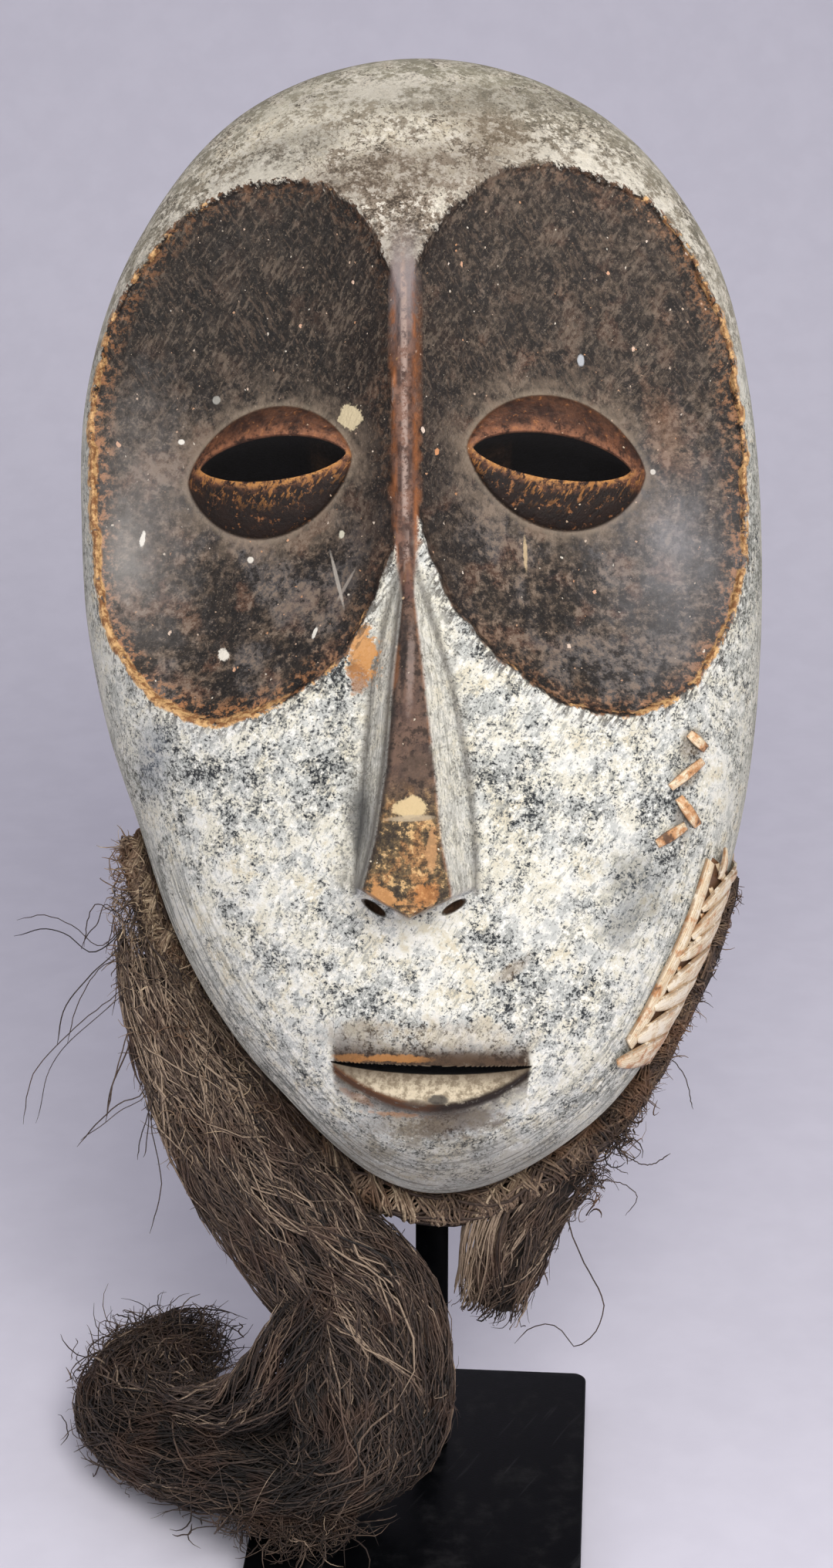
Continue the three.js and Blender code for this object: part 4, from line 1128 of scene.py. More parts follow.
def bundleFrame(sections, samples=260):
    # the line of a bundle and its cross directions, at even steps of its sections
    at = np.array([s[0] for s in sections], float)
    ends = np.vstack([2 * at[0] - at[1], at, 2 * at[-1] - at[-2]])
    t = np.linspace(0, 1, samples) * (len(at) - 1)
    k = np.minimum(t.astype(int), len(at) - 2)
    u = (t - k)[:, None]
    p0, p1, p2, p3 = (ends[k + j] for j in range(4))
    d0, d1, d2 = (np.linalg.norm(b - a, axis=1)[:, None] ** 0.5 for a, b in ((p0, p1), (p1, p2), (p2, p3)))
    m1 = ((p1 - p0) / d0 - (p2 - p0) / (d0 + d1) + (p2 - p1) / d1) * d1
    m2 = ((p2 - p1) / d1 - (p3 - p1) / (d1 + d2) + (p3 - p2) / d2) * d1
    line = ((2 * u ** 3 - 3 * u ** 2 + 1) * p1 + (u ** 3 - 2 * u ** 2 + u) * m1
            + (3 * u ** 2 - 2 * u ** 3) * p2 + (u ** 3 - u ** 2) * m2)
    ahead = np.gradient(line, axis=0)
    ahead /= np.linalg.norm(ahead, axis=1)[:, None]
    index = np.arange(len(at))
    turn = np.radians(between(list(zip(index, [s[2] for s in sections])), t))
    across = stacked(-np.sin(turn), np.cos(turn), np.zeros_like(turn))
    inPlane = np.cross(across, ahead)
    inPlane /= np.linalg.norm(inPlane, axis=1)[:, None]
    wide, deep = (between(list(zip(index, [s[1][side] for s in sections])), t) for side in (0, 1))
    walk = np.concatenate([[0], np.cumsum(np.linalg.norm(np.diff(line, axis=0), axis=1))])
    return {"line": line, "across": across, "inPlane": inPlane, "wide": wide, "deep": deep, "walk": walk}


def alongBundle(shape, walk, u, v):
    # points of a bundle at a distance along it, u and v being shares of its half widths
    step = np.interp(walk, shape["walk"], np.arange(len(shape["walk"])))
    low = np.minimum(step.astype(int), len(shape["walk"]) - 2)
    part = (step - low)[..., None]

    def at(name):
        values = shape[name] if shape[name].ndim > 1 else shape[name][:, None]
        return values[low] * (1 - part) + values[low + 1] * part
    return at("line") + at("inPlane") * at("wide") * u[..., None] + at("across") * at("deep") * v[..., None]


limits = {"plate": (61, 80), "plateTop": 12.7, "table": 0.6, "left": -147.5}  # mm


def settle(paths):
    # nothing sinks into the table or the plate, or strays too far to the left
    over = (np.abs(paths[..., 0]) < limits["plate"][0]) & (np.abs(paths[..., 1]) < limits["plate"][1])
    paths[..., 2] = np.maximum(paths[..., 2], np.where(over, limits["plateTop"], limits["table"]))
    paths[..., 0] = np.maximum(paths[..., 0], limits["left"])
    return paths


def lockPlaces(plan, shape):
    # each lock wanders round the bundle: its turn and its share of the half width at every step
    locks, samples = plan["locks"], len(shape["walk"])
    walk, last = shape["walk"][None], shape["walk"][-1]
    turn = each(0, 2 * math.pi, locks) + spread.normal(0, 0.5, (locks, 1)) * walk / 160
    turn = turn + drift(locks, samples, ((48, 0.12), (90, 0.26), (170, 0.4)), last)
    out = 0.66 + 0.28 * each(0, 1, locks) + drift(locks, samples, ((42, 0.05), (80, 0.08)), last)
    return {"turn": turn, "out": np.clip(out, 0.3, 1.0), "tone": spread.normal(0, 0.17, locks),
            "thick": spread.uniform(1.4, 3.4, locks),
            "twist": spread.choice([-1, 1], locks) / spread.uniform(9, 22, locks),
            "phase": spread.uniform(0, 6.3, locks), "pinch": spread.uniform(16, 34, locks)}


def lockStrands(shape, locks, lock, walk, tangle):
    # places of strands in their locks, in mm off the line of the bundle
    count, steps = walk.shape
    step = np.interp(walk, shape["walk"], np.arange(len(shape["walk"]))).astype(int)
    turn, out = locks["turn"][lock[:, None], step], locks["out"][lock[:, None], step]
    wide = np.interp(walk, shape["walk"], shape["wide"])
    deep = np.interp(walk, shape["walk"], shape["deep"])
    pinch = 0.75 + 0.5 * np.sin(walk / locks["pinch"][lock][:, None] + locks["phase"][lock][:, None])
    away = np.abs(spread.normal(0, 1, (count, 1))) * locks["thick"][lock][:, None] * pinch
    around = each(0, 2 * math.pi, count) + walk * locks["twist"][lock][:, None]
    lengths = walk[:, -1] - walk[:, 0]
    waves = ((7, 0.22), (13, 0.5), (26, 0.95), (60, 1.4))
    u = out * np.cos(turn) * wide + away * np.cos(around) + drift(count, steps, waves, lengths) * tangle
    v = out * np.sin(turn) * deep + away * np.sin(around) + drift(count, steps, waves, lengths) * tangle
    over = np.maximum(np.hypot(u / wide, v / deep) / each(0.88, 1.02, count), 1)
    return u / over / wide, v / over / deep, wide, deep


def depthTone(plan, u, v, part):
    # painted shade: strands that lie deeper are darker, and so is the lower part of the hank; its top is pale
    lower = ease(0.42, 0.60, part) * (1 - 0.8 * ease(0.68, 0.82, part))
    return 0.9 * (np.hypot(u, v) - 0.86) - plan["shade"] * lower + plan["glow"] * ease(0.38, 0.10, part)


def bundlePaths(plan):
    # long strands from the band to the end of the bundle, and shorter ones that lie among them
    shape = bundleFrame(plan["sections"])
    locks = lockPlaces(plan, shape)
    last = shape["walk"][-1]
    count, steps = plan["rooted"], plan["points"]
    lock = spread.integers(0, plan["locks"], count)
    lockRoot = spread.uniform(0, 1, plan["locks"]) ** 0.9
    rootPart = plan["roots"][0] + (plan["roots"][1] - plan["roots"][0]) * np.clip(
        lockRoot[lock] + spread.normal(0, 0.02, count), 0, 1)
    root = bandPlace(rootPart, spread.uniform(-1.0, 0.9, count), 0.95)
    away = np.linalg.norm(shape["line"][None] - root[:, None], axis=2)
    away[:, len(shape["walk"]) * 6 // 10:] = 1e6
    at = np.argmin(away, axis=1)
    joins = shape["walk"][at]
    ends = joins + (plan["last"] * last - joins) * spread.uniform(0.4, 1, count) ** 0.5
    walk = joins[:, None] + (ends - joins)[:, None] * evenly(0, 1, steps)
    fray = 1 + 1.6 * ease(0.66, 0.95, walk / last) * (plan is hank)
    u, v, wide, deep = lockStrands(shape, locks, lock, walk, fray)
    off = root - shape["line"][at]
    u0 = np.einsum("ij,ij->i", off, shape["inPlane"][at])[:, None]
    v0 = np.einsum("ij,ij->i", off, shape["across"][at])[:, None]
    gone = walk - joins[:, None]
    blend = ease(0, 1, gone / (26 + 1.2 * np.abs(u0) + each(0, 26, count)))
    u, v = u0 / wide * (1 - blend) + u * blend, v0 / deep * (1 - blend) + v * blend
    long = settle(alongBundle(shape, walk, u, v))
    longTones = (plan["tone"] + locks["tone"][lock] + spread.normal(0, 0.12, count))[:, None]
    longTones = longTones + depthTone(plan, u, v, walk / last)
    return shape, (long, longTones), lyingPaths(plan, shape, locks)


def lyingPaths(plan, shape, locks):
    # short strands that lie along a bundle
    last = shape["walk"][-1]
    count, steps = plan["short"], plan["shortPoints"]
    lock = spread.integers(0, plan["locks"], count)
    lengths = spread.uniform(*plan["shortLength"], count)
    latest = plan["last"] * last - lengths * spread.uniform(0.75, 1.2, count)
    first = spread.uniform(plan["shortFrom"] * last, latest, count)
    walk = np.clip(first[:, None] + lengths[:, None] * evenly(0, 1, steps), 0, last)
    fray = 1.1 + 1.8 * ease(0.66, 0.95, walk / last) * (plan is hank)
    u, v, _, _ = lockStrands(shape, locks, lock, walk, fray)
    crossing = each(0, 1, count) < strand["crossing"]
    swing = each(-1.3, 1.3, count) * (evenly(0, 1, steps) - 0.5)
    turned = np.cos(swing) * u - np.sin(swing) * v, np.sin(swing) * u + np.cos(swing) * v
    u, v = (np.where(crossing, new * 1.05, old) for new, old in zip(turned, (u, v)))
    short = settle(alongBundle(shape, walk, u, v))
    shortTones = (plan["tone"] + locks["tone"][lock] + spread.normal(0, 0.19, count))[:, None]
    shortTones = shortTones + 0.15 * crossing + depthTone(plan, u, v, walk / last)
    return short, shortTones


def fuzzPaths(shape, count, steps, first, last, length, stand):
    # fine hairs that stand off a bundle
    at = spread.uniform(first, last, count) * shape["walk"][-1]
    reach = spread.uniform(*length, count)
    walk = np.clip(at[:, None] + reach[:, None] * each(-0.4, 1.0, count) * evenly(0, 1, steps),
                   0, shape["walk"][-1])
    turn = each(0, 2 * math.pi, count) + drift(count, steps, ((22, 0.10), (45, 0.25)), reach)
    wide = np.interp(walk, shape["walk"], shape["wide"])
    out = 0.94 + (each(*stand, count) * evenly(0, 1, steps) ** 1.3) / np.maximum(wide, 10)
    out = out + drift(count, steps, ((12, 0.015), (30, 0.03)), reach)
    return settle(alongBundle(shape, walk, out * np.cos(turn), out * np.sin(turn)))


def curledHairs(starts, reach, steps, length):
    # hairs that curl every way round their starts
    count = len(starts)
    heading = spread.normal(0, 1, (count, 3)) * (1, 1, 0.7)
    heading /= np.linalg.norm(heading, axis=1)[:, None]
    side = np.cross(heading, spread.normal(0, 1, (count, 3)))
    side /= np.linalg.norm(side, axis=1)[:, None]
    size = spread.uniform(*length, count)[:, None]
    bend = each(0.6, 4.2, count) * evenly(-0.5, 0.5, steps)
    kink = drift(count, steps, ((9, 0.4), (17, 0.9)), size)
    paths = (starts + spread.normal(0, 0.5, (count, 3)) * reach)[:, None]
    paths = paths + (size * np.sin(bend) / 3)[..., None] * heading[:, None]
    return settle(paths + (size * (1 - np.cos(bend)) / 3 + kink)[..., None] * side[:, None])


hearts = {"rings": 34, "around": 18}


def core(name, shape, size, finish, first, last):
    # dark heart of a bundle: painted shade that shows between its strands
    def placed(circle, walk):
        u, v, _ = circle.T * size
        return np.maximum(alongBundle(shape, np.full(len(circle), walk), u, v) / 1000, (-1, -1, 0.001))

    walks = np.linspace(first, last, hearts["rings"]) * shape["walk"][-1]
    return ringedPiece(name, hearts["around"], walks, placed, finish)


def shadeCoreFinish():
    # near-black core: painted shade seen between the strands
    material, tree, surface = newFinish("fibre_shade_core", 0.95)
    spot = objectPlace(tree)
    tree.links.new(mixed(tree, patches(tree, spot, 500, 0.4, 0.6), shade(22, 17, 14), shade(50, 39, 32)),
                   surface.inputs["Base Color"])
    return material


def fibreBundle(name, plan, node, pieces, heartSpan):
    shape, (long, longTones), (short, shortTones) = bundlePaths(plan)
    settled(core(name + "_shade_core", shape, plan["heart"], heart, *heartSpan), node)
    strandsPiece(name + "_strands_long", node, long, (0.6, 1.3), longTones, raffia)
    for index in range(pieces):
        part = slice(index * len(short) // pieces, (index + 1) * len(short) // pieces)
        strandsPiece("%s_strands_short_%d" % (name, index + 1), node, short[part], strand["short"],
                     shortTones[part], raffia)
    return shape


heart = shadeCoreFinish()
hankShape = fibreBundle("hank", hank, "beard_hank", 3, (0.10, 0.90))
tuftShape = fibreBundle("tuft", tuft, "beard_tuft", 1, (0.02, 0.95))
# strands that cut the inner corner of the bend
bendShape = bundleFrame(bend["sections"])
paths, tones = lyingPaths(bend, bendShape, lockPlaces(bend, bendShape))
strandsPiece("hank_strands_bend", "beard_hank", paths, strand["short"], tones, raffia)
fuzz = np.concatenate([fuzzPaths(hankShape, 760, 8, 0.02, 0.9, (10, 34), (0.5, 5)),
                       fuzzPaths(hankShape, 160, 8, 0.45, 0.8, (14, 44), (1, 7)),
                       fuzzPaths(tuftShape, 170, 8, 0.3, 0.98, (8, 24), (0.5, 4))])
strandsPiece("beard_fuzz", "beard_hank", fuzz, (0.3, 0.6), (0.42, 0.16), raffia)
# wool: counts of hairs on the left of the band, on the hank below it, on the right of the band, in the
# frayed ball over the tuft and in the spill at the band's right end
woolCounts = {"left": 780, "hank": 660, "right": 240, "ball": (140, 90, 80), "spill": 110}
woolSteps, woolMiddles = 8, (0.72, 0.62, 0.42, 0.26, 0.3)
left, below, right, spill = (woolCounts[name] for name in ("left", "hank", "right", "spill"))
woolParts = spread.uniform(0.0, 0.36, left)
upper = spread.uniform(0.0, 0.26, below) * hankShape["walk"][-1]
upperTurn = spread.uniform(0, 2 * math.pi, below)
knot = np.array([(71, -168, 3), (70, -181, 4), (59.6, -196, 4)])
knot = np.repeat(onFace(*knot.T) * 1000, woolCounts["ball"], axis=0)
wool = np.concatenate([
    curledHairs(bandPlace(woolParts, spread.uniform(-1.9, 0.7, left), spread.uniform(0.85, 1.25, left)),
                1.2, woolSteps, (5, 17)),
    curledHairs(alongBundle(hankShape, upper, *polar(0.92, upperTurn)), 1.2, woolSteps, (6, 20)),
    curledHairs(bandPlace(spread.uniform(0.66, 0.86, right), spread.uniform(-1.9, 1.2, right), 1.2),
                1.6, woolSteps, (5, 16)),
    curledHairs(knot, (6, 5, 9), woolSteps, (6, 18)),
    curledHairs(bandPlace(spread.uniform(0.86, 1.0, spill), spread.uniform(-1.0, 1.2, spill), 1.1),
                0.8, woolSteps, (4, 10))])
woolTones = np.concatenate([spread.normal(middle, 0.16, count) for middle, count in zip(
    woolMiddles, (left, below, right, len(knot), spill))])
strandsPiece("band_wool", "beard_band", wool, (0.3, 0.8), woolTones, plaitFibre)
# balls of curled hair: middle, reach every way, count
balls = [((-106, 70, 24), (20, 17, 12), 420), ((-114, 38, 20), (15, 19, 11), 170),
         ((-88, 84, 22), (11, 8, 9), 110), ((-40, -42, 22), (15, 9, 6), 190),
         ((-60, -36, 22), (15, 7, 7), 120)]
middles, reaches, counts = zip(*balls)
curl = curledHairs(np.repeat(middles, counts, axis=0), np.repeat(reaches, counts, axis=0), 12, (12, 38))
strandsPiece("beard_curl", "beard_hank", curl, (0.35, 0.85), (0.42, 0.17), raffia)


def plait():
    # knots round the rim cord: in each, threads loop over it at two slants
    knots, threads, loop = band["knots"], band["threads"], band["loop"]
    turn = evenly(-2.9, 3.3, loop)
    paths, tones = [], []
    for knot in range(knots):
        middle = (knot + 0.5 + spread.uniform(-0.2, 0.2)) / knots
        knotTone, bulge = spread.normal(0.44, 0.10), spread.uniform(0.86, 1.1)
        knotTone += 0.3 * (middle < 0.3) + 0.12 * (0.42 < middle < 0.62) - 0.1 * (middle > 0.7)
        for way in (1, -1):
            slant = way * spread.uniform(0.3, 0.8) / knots
            side = np.linspace(-0.5, 0.5, threads)[:, None] * 0.72 / knots
            part = middle + side + slant * np.cos(turn + 0.6)
            part = part + spread.normal(0, 0.06 / knots, (threads, loop))
            grow = bulge * (1 + (0.08 if way > 0 else 0.0)) + 0.10 * (1 - (2 * side * knots / 0.72) ** 2)
            grow = grow + 0.05 * np.sin(2 * turn + each(0, 6, threads))
            grow = grow + spread.normal(0, 0.02, (threads, loop))
            paths.append(bandPlace(part, turn + spread.normal(0, 0.05, (threads, 1)), grow))
            # painted highlight: the middle threads of each knot, on its crown, are lighter
            rise = 0.16 * (1 - (2 * side * knots / 0.72) ** 2)
            tones.append(knotTone + spread.normal(0, 0.13, (threads, 1)) + rise + 0.06 * np.cos(turn * 2))
    return np.concatenate(paths), np.concatenate(tones)


def cordPaths():
    # the rim cord under the knots, and threads that run along over them
    count, under, steps = band["cords"], band["under"], 60
    part = evenly(-0.01, 1.01, steps) * np.ones((count, 1))
    turn = each(-2.8, 2.8, count) + drift(count, steps, ((0.2, 0.5), (0.07, 0.25)), np.ones(count))
    grow = np.where(np.arange(count)[:, None] < under, 0.82, 1.10)
    return bandPlace(part, turn, grow + drift(count, steps, ((0.05, 0.04),), np.ones(count)))


paths, tones = plait()
cords = cordPaths()
strandsPiece("band_knots", "beard_band", paths, (0.8, 1.5), tones, plaitFibre)
strandsPiece("band_cords", "beard_band", cords, (1.2, 2.6), (0.4, 0.1), plaitFibre)
print("band knotted:", len(paths), "loops")

# single loose hairs: x, h and depth in mm on the face
looseHairs = [
    [(-99, -84, 2), (-103, -97, 6), (-114.7, -112, 10), (-124, -105, 12), (-135, -101, 10), (-145, -103, 6)],
    [(-97, -92, 4), (-110, -99.5, 8), (-116.6, -97, 10), (-119.4, -102.6, 10), (-121, -112.3, 8)],
    [(-98, -96, 4), (-106, -113.7, 8), (-116, -120.7, 10), (-123, -133, 12), (-127, -147, 10)],
    [(-96, -110, 3), (-105, -141.5, 8), (-110.5, -160.9, 10), (-113.3, -174.8, 8)],
    [(-92, -130, 4), (-99.5, -163.7, 9), (-107.8, -167.8, 12), (-116, -174.8, 12), (-123.3, -183.6, 10)],
    [(-90, -148, 4), (-100.8, -180.3, 8), (-102, -188.6, 8)],
    [(-94, -118, 4), (-118, -136, 14), (-133, -150, 12), (-140, -160, 9), (-143, -176, 6)],
    [(-91, -140, 4), (-97, -172, 10), (-93, -196, 14), (-97, -214, 14)],
    [(50, -206, 8), (56, -222, 12), (64, -238, 12), (61.4, -249.6, 10), (54.4, -255, 8), (47.5, -248, 6),
     (39, -249, 4),
     (33, -255, 2)],
    [(58, -196, 8), (70, -196, 12), (76, -201, 12), (72, -208, 10)],
    [(86, -150, 6), (93, -158, 10), (96, -170, 10)], [(70, -186, 6), (80, -190, 10), (88, -186, 10)],
]


def smoothed(knots, steps=26):
    knots = np.array(knots, float)
    reach = np.concatenate([[0], np.cumsum(np.linalg.norm(np.diff(knots, axis=0), axis=1))])
    walk = np.linspace(0, reach[-1], steps)
    return stacked(*[between(list(zip(reach, column)), walk) for column in knots.T])


loose = np.array([smoothed(knots) for knots in looseHairs])
# the first hairs have a second one beside them
strayed = 7
first, second = spread.normal(0, 0.12, loose.shape), spread.normal(0, 1.6, (strayed, 1, 3))
sway = drift(3 * strayed, loose.shape[1], ((30, 0.8), (60, 1.8)), np.full(3 * strayed, 60))
second = second + sway.reshape(strayed, 3, -1).transpose(0, 2, 1)
loose = np.concatenate([loose + first, loose[:strayed] * (1, 1, 1.3) + second])
loose = settle(onFace(*np.moveaxis(loose, -1, 0)) * 1000)
strandsPiece("loose_hairs", "beard_band", loose, (0.4, 0.7), (0.3, 0.1), raffia)
print("loose hairs:", len(loose))


# cane: strips laid along the face and over its rim
cane = {"thick": 0.9, "edge": 0.25, "crown": 0.35, "along": 22, "across": 4}
lashing = {  # its middle in degrees, mm from the middle of the face, mm along the rim, mm in from its edge
    "middle": -51.2, "reach": 166, "half": 36, "wraps": 7, "lead": 13.5, "inner": 8.8, "outer": -2.4,
    "width": 5.6, "lift": 0.5, "tilt": 0.5, "bow": 0.6}
stitches = [  # ends, width, tone
    [(89.5, -37.5), (95.5, -42.5), 3.4, 0.5], [(83, -55.5), (94.5, -46.5), 3.2, 0.3],
    [(86, -59), (93, -68.5), 3.8, 0.45], [(78.5, -74.5), (88.5, -68.5), 3.6, 0.6]]


def rimPoint(along, inward, lift):
    # a point along the rim, some way in over the face or round behind it
    angle = np.radians(lashing["middle"]) + along / lashing["reach"]
    level = np.where(inward > 0, 0.36 * np.sqrt(np.maximum(inward, 0) / 12.5), inward / 60)
    edge = np.cos(np.maximum(level, 0) * math.pi / 2) ** (2 / carving["fullness"])
    reach = outlineAt(angle)
    depth = faceDepth(*polar(edge * reach, angle)) + 0.8 * lift + np.minimum(level, 0) * 60
    return onFace(*polar(edge * reach + lift, angle), depth)


def canePiece(name, strips, node):
    # strips: a function that gives the point at a share along and across (-1 to 1), and its tone
    bm = bmesh.new()
    grains = []
    for index, (placed, tone) in enumerate(strips):
        made = bmesh.ops.create_grid(bm, x_segments=cane["along"], y_segments=cane["across"], size=1)["verts"]
        flat = np.array([vert.co for vert in made])
        along, across = (flat[:, 0] + 1) / 2, flat[:, 1]
        for vert, point in zip(made, placed(along, across).tolist()):
            vert.co = point
        grains.append((along * 10 + index * 13.7, across, np.full(len(made), tone)))
    bmesh.ops.recalc_face_normals(bm, faces=bm.faces)
    piece = meshPiece(name, bm, caneMaterial, 50)
    for attribute, values in zip(("caneAlong", "caneAcross", "caneTone"), zip(*grains)):
        mark(piece, attribute, np.concatenate(values))
    wall = piece.modifiers.new("wall", "SOLIDIFY")
    wall.thickness, wall.offset, wall.use_even_offset = cane["thick"] / 1000, 0, True
    edge = piece.modifiers.new("edge", "BEVEL")
    edge.width, edge.segments, edge.limit_method = cane["edge"] / 1000, 2, "ANGLE"
    bpy.context.view_layer.update()
    return settled(applied(piece), node)


def rimStrip(first, last, width, lift, bow=0.0, tilt=0.0, leaf=0.5):
    # from one place (along, inward) to another, widest in the middle
    ahead = np.array(last, float) - np.array(first, float)
    run = math.hypot(*ahead)

    def placed(along, across):
        shape = np.sin(along * math.pi) ** 0.8
        side = across * width / 2 * (1 - leaf + leaf * shape)
        slide = first[0] + ahead[0] * along - ahead[1] / run * side
        inward = first[1] + ahead[1] * along + ahead[0] / run * side
        crown = cane["crown"] * (1 - across ** 2)
        return rimPoint(slide, inward, lift + bow * shape + tilt * across * shape + crown)
    return placed


def stitchStrip(first, last, width):
    (x0, h0), (x1, h1) = first, last
    ahead = np.array([x1 - x0, h1 - h0]) / math.hypot(x1 - x0, h1 - h0)

    def placed(along, across):
        side = across * width / 2 * (0.8 + 0.25 * np.sin(along * math.pi))
        x = x0 + (x1 - x0) * along - ahead[1] * side
        h = h0 + (h1 - h0) * along + ahead[0] * side
        rise = 1.7 * np.sin(along * math.pi) ** 0.7 - 0.5 + cane["crown"] * (1 - across ** 2)
        return onFace(x, h, faceDepth(x, h) + rise + 0.5)
    return placed


def caneFinish():
    material, tree, surface = newFinish("split_cane", 0.5)
    along, across, tone = read(tree, "caneAlong"), read(tree, "caneAcross"), read(tree, "caneTone")
    spot = objectPlace(tree)
    way = place(tree, "CombineXYZ", {0: along, 1: across}).outputs[0]
    way = place(tree, "VectorMath", {0: way, 1: (0.5, 7, 1)}, operation="MULTIPLY").outputs[0]
    lines, _ = grained(tree, way, 1.0, 4, 0.6)
    stainField, _ = grained(tree, spot, 160, 4, 0.65)
    fine, _ = grained(tree, spot, 900, 3, 0.7)
    colour = blended(tree, (lines, 0.38, 0.62), (246, 232, 204), (214, 186, 146))
    worn = sums(tree, "ADD", stainField, sums(tree, "MULTIPLY", tone, 0.22))
    colour = layered(tree, colour, [
        (0.85, (196, 132, 74), (worn, 0.52, 0.66)),
        (0.9, (74, 50, 35), (worn, 0.64, 0.76)),
        (0.65, (120, 84, 56), (sums(tree, "ABSOLUTE", across), 0.72, 1.0)),
        (0.45, (120, 104, 86), (fine, 0.56, 0.66)),
        (0.7, (250, 240, 220), (worn, 0.46, 0.38)),
    ])
    dressed(tree, surface, colour, leaned(tree, ramped(tree, fine, 0.35, 0.65), 0.42, 0.7), lines, 0.5,
            0.0003)
    return material


caneMaterial = caneFinish()
half, gap = lashing["half"], 2 * lashing["half"] / lashing["wraps"]
wraps = [(rimStrip((-half, 3.6), (half, 3.6), 13, 0.15, leaf=0.12), 1.6),
         (rimStrip((-half - 1, 9.6), (half - 2, 10.4), 3.4, 0.8, leaf=0.2), 0.1),
         (rimStrip((-half + 3, 0.6), (half, 0.2), 3.6, 1.3, leaf=0.2), 0.25)]
for index in range(lashing["wraps"]):
    middle = -half + (index + 0.5) * gap + random.uniform(-0.8, 0.8)
    lead = lashing["lead"] * random.uniform(0.85, 1.15)
    first, last = (middle + 4.5, lashing["inner"] - 1), (middle - 4, lashing["outer"])
    wraps.append((rimStrip(first, last, 3.2, lashing["lift"], 0.4), random.uniform(0.4, 1.0)))
    first = (middle - lead, lashing["inner"] + random.uniform(-1, 0.8))
    last = (middle + lead, lashing["outer"])
    strip = rimStrip(first, last, lashing["width"] * random.uniform(0.8, 1.08), lashing["lift"] + 0.6,
                     lashing["bow"], lashing["tilt"], 0.75)
    wraps.append((strip, random.choice([-0.15, 0.0, 0.25, 0.45])))
for first, last in (((half - 4, 4), (half + 6, -2.5)), ((half - 5, 6.5), (half + 7, 7)),
                    ((half - 2, 1), (half + 4, -4))):
    wraps.append((rimStrip(first, last, 2.6, 1.2, 1.0, 0.4, 0.8), 0.3))
canePiece("cane_lashing", wraps, "rim_lashing")
for index, (first, last, width, tone) in enumerate(stitches):
    strip = stitchStrip(first, last, width)
    canePiece("cane_stitch_%d" % (index + 1), [(strip, tone)], "crack_stitch_%d" % (index + 1))
print("cane laid")


# the stand: satin black paint over steel, with softened edges, dust and a few specks
stand = {"stand_base": 0.9, "stand_stem": 0.6, "stand_yoke": 0.0}  # mm that each edge is eased


def paintFinish():
    material, tree, surface = newFinish("satin_black_paint", 0.38, Specular_IOR_Level=0.08)
    spot = objectPlace(tree)
    upward = axis(tree, place(tree, "TexCoord").outputs["Normal"], 2)
    orange, _ = grained(tree, spot, 1400, 2, 0.5)
    dust, wander = grained(tree, spot, 60, 5, 0.7)
    scratch, _ = grained(tree, spot, 200, 3, 0.6, (1, 0.06, 1), 0.5)
    colour = blended(tree, (dust, 0.35, 0.7), (4, 5, 7), (8, 9, 11))
    colour = layered(tree, colour, [(0.03, (150, 148, 150), (upward, 0.5, 0.95), (dust, 0.5, 0.72))])
    colour = layered(tree, colour, [(0.05, (120, 120, 124), (scratch, 0.62, 0.68))])
    colour = flecked(tree, spot, wander, colour, 70, 0.06, 0.07, (120, 120, 124), (190, 188, 186),
                     strength=0.6)
    dressed(tree, surface, colour, leaned(tree, ramped(tree, dust, 0.35, 0.65), 0.3, 0.48), orange, 0.15,
            0.0002)
    return material


def easedCopy(node, width, finish):
    # the node's own solid, merged, with its sharp edges eased
    bm = bmesh.new()
    bm.from_mesh(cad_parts[node].data)
    bmesh.ops.remove_doubles(bm, verts=bm.verts, dist=1e-5)
    bmesh.ops.dissolve_limit(bm, angle_limit=math.radians(1), verts=bm.verts, edges=bm.edges)
    sharp = [edge for edge in bm.edges
             if len(edge.link_faces) == 2 and edge.calc_face_angle() > math.radians(50)]
    bmesh.ops.bevel(bm, geom=sharp, offset=width / 1000, affect="EDGES", segments=3, profile=0.5, material=-1)
    piece = meshPiece(node.replace("stand", "eased"), bm, finish)
    return settled(piece, node)


paint = paintFinish()
for node, width in stand.items():
    if width:
        easedCopy(node, width, paint)
    else:
        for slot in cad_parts[node].material_slots:
            slot.material = paint
print("stand painted")


studio = {
    "paperWide": 3, "paperLong": 4.6, "paperFlat": 1.6, "paperBend": 0.764, "paperFront": -0.9,
    "paperTones": ((230, 228, 242), (197, 193, 208), (170, 168, 184)),
    "lights": [  # name, place, what it looks at, size, power, tint
        ("front_softbox", (0.22, -1.0, 1.15), (0, 0.02, 0.3), (0.8, 0.7), 17, (1, 0.97, 0.93)),
        ("left_softbox", (-1.1, -0.7, 0.7), (0, 0.02, 0.28), (0.5, 1.1), 2.0, (1, 1, 1)),
        ("right_softbox", (1.1, -0.6, 0.75), (0, 0.02, 0.28), (0.5, 1.1), 2.1, (1, 1, 1))],
    "room": (236, 235, 240), "roomPower": 0.40,
    "lens": 66.44, "sensor": 36, "camera": (-0.0017, -0.899, 0.6558), "pitch": 68,
}


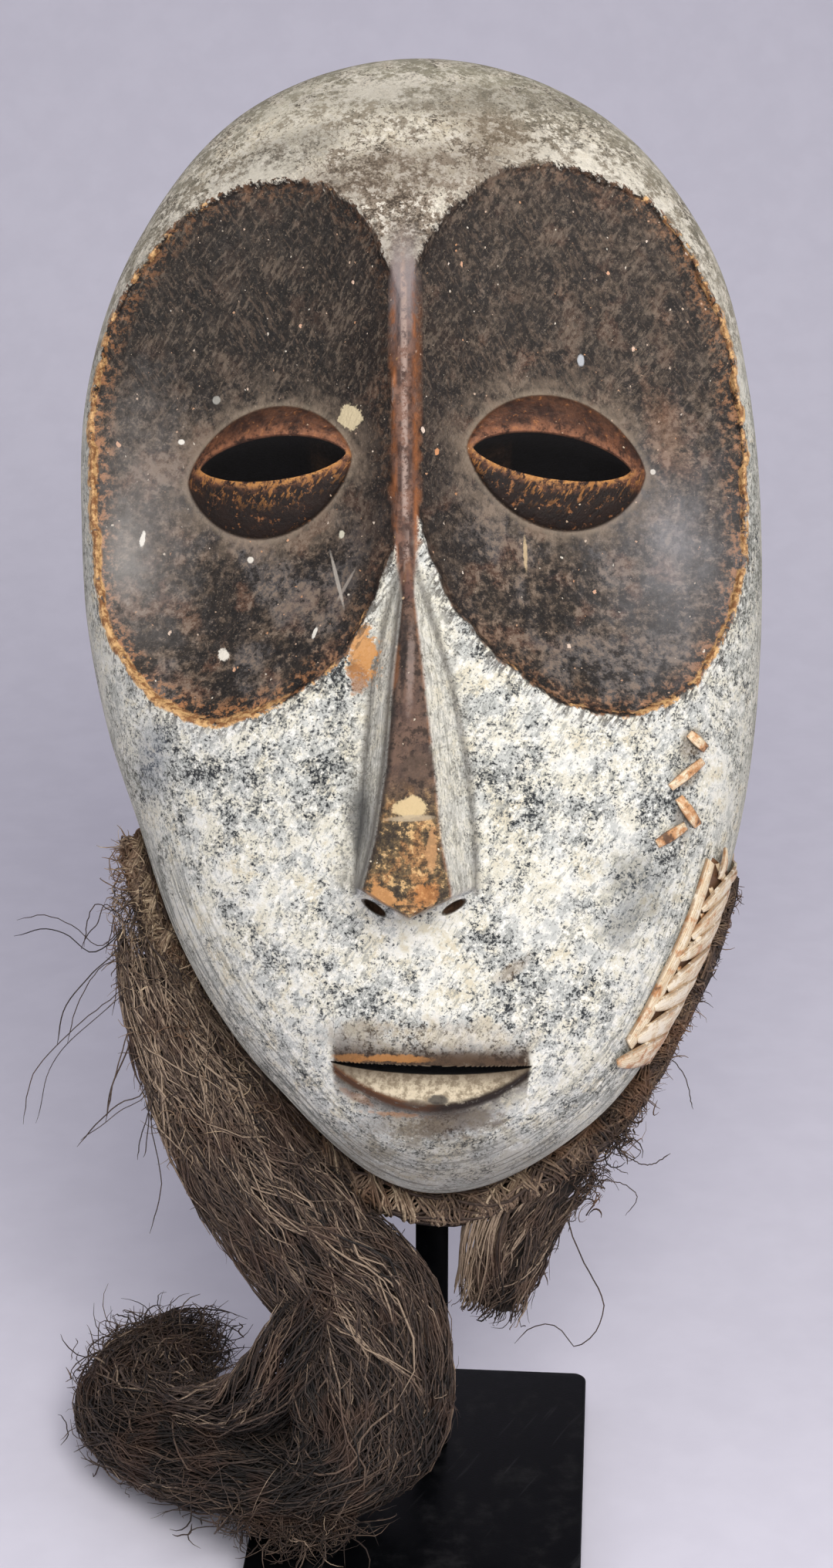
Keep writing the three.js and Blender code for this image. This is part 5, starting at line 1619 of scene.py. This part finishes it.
def sweep():
    bm = bmesh.new()
    bmesh.ops.create_grid(bm, x_segments=1, y_segments=40, size=1)
    flat, bend = studio["paperFlat"], studio["paperBend"]
    for vert in bm.verts:
        part = (vert.co.y + 1) / 2 * studio["paperLong"]
        turn = min(max((part - flat) / 1.2, 0), 1) * math.pi / 2
        y = min(part, flat) + studio["paperFront"] + bend * math.sin(turn)
        z = bend * (1 - math.cos(turn)) + max(part - flat - 1.2, 0)
        vert.co = (vert.co.x * studio["paperWide"], y, z - 0.0005)
    piece = meshPiece("sweep", bm)
    material, tree, surface = newFinish("pale_paper", 0.9)
    where = objectPlace(tree)
    low, high, fleck = (shade(*tone) for tone in studio["paperTones"])
    grain = patches(tree, where, 40, 0.3, 0.7)
    # painted fall-off of light: the paper paler low down and darker up the curve
    colour = mixed(tree, ramped(tree, axis(tree, where, 2), 0.0, 1.4), low, high)
    tree.links.new(mixed(tree, sums(tree, "MULTIPLY", grain, 0.08), colour, fleck),
                   surface.inputs["Base Color"])
    # the paper is clear from behind, so that the back of the mask can be seen past it
    away = place(tree, "NewGeometry").outputs["Backfacing"]
    clear = place(tree, "BsdfTransparent").outputs[0]
    seen = place(tree, "MixShader", {0: away, 1: surface.outputs[0], 2: clear}).outputs[0]
    tree.links.new(seen, tree.nodes["Material Output"].inputs["Surface"])
    piece.data.materials.append(material)
    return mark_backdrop(piece)


def softLight(name, spot, target, size, power, tint):
    lamp = bpy.data.lights.new(name, "AREA")
    lamp.shape, lamp.size, lamp.size_y, lamp.energy, lamp.color = "RECTANGLE", size[0], size[1], power, tint
    piece = added(name, lamp)
    piece.location = spot
    piece.rotation_euler = (Vector(target) - Vector(spot)).to_track_quat("-Z", "Y").to_euler()


def setStage():
    sweep()
    for light in studio["lights"]:
        softLight(*light)
    world = bpy.data.worlds.new("room")
    world.use_nodes = True
    air = world.node_tree.nodes["Background"].inputs
    air[0].default_value, air[1].default_value = shade(*studio["room"]), studio["roomPower"]
    bpy.context.scene.world = world
    bpy.context.scene.view_settings.view_transform = "Standard"
    lens = bpy.data.cameras.new("camera")
    lens.lens, lens.sensor_width = studio["lens"], studio["sensor"]
    camera = added("camera", lens)
    camera.location = studio["camera"]
    camera.rotation_euler = (math.radians(studio["pitch"]), 0, 0)
    bpy.context.scene.camera = camera


setStage()
print("stage set")
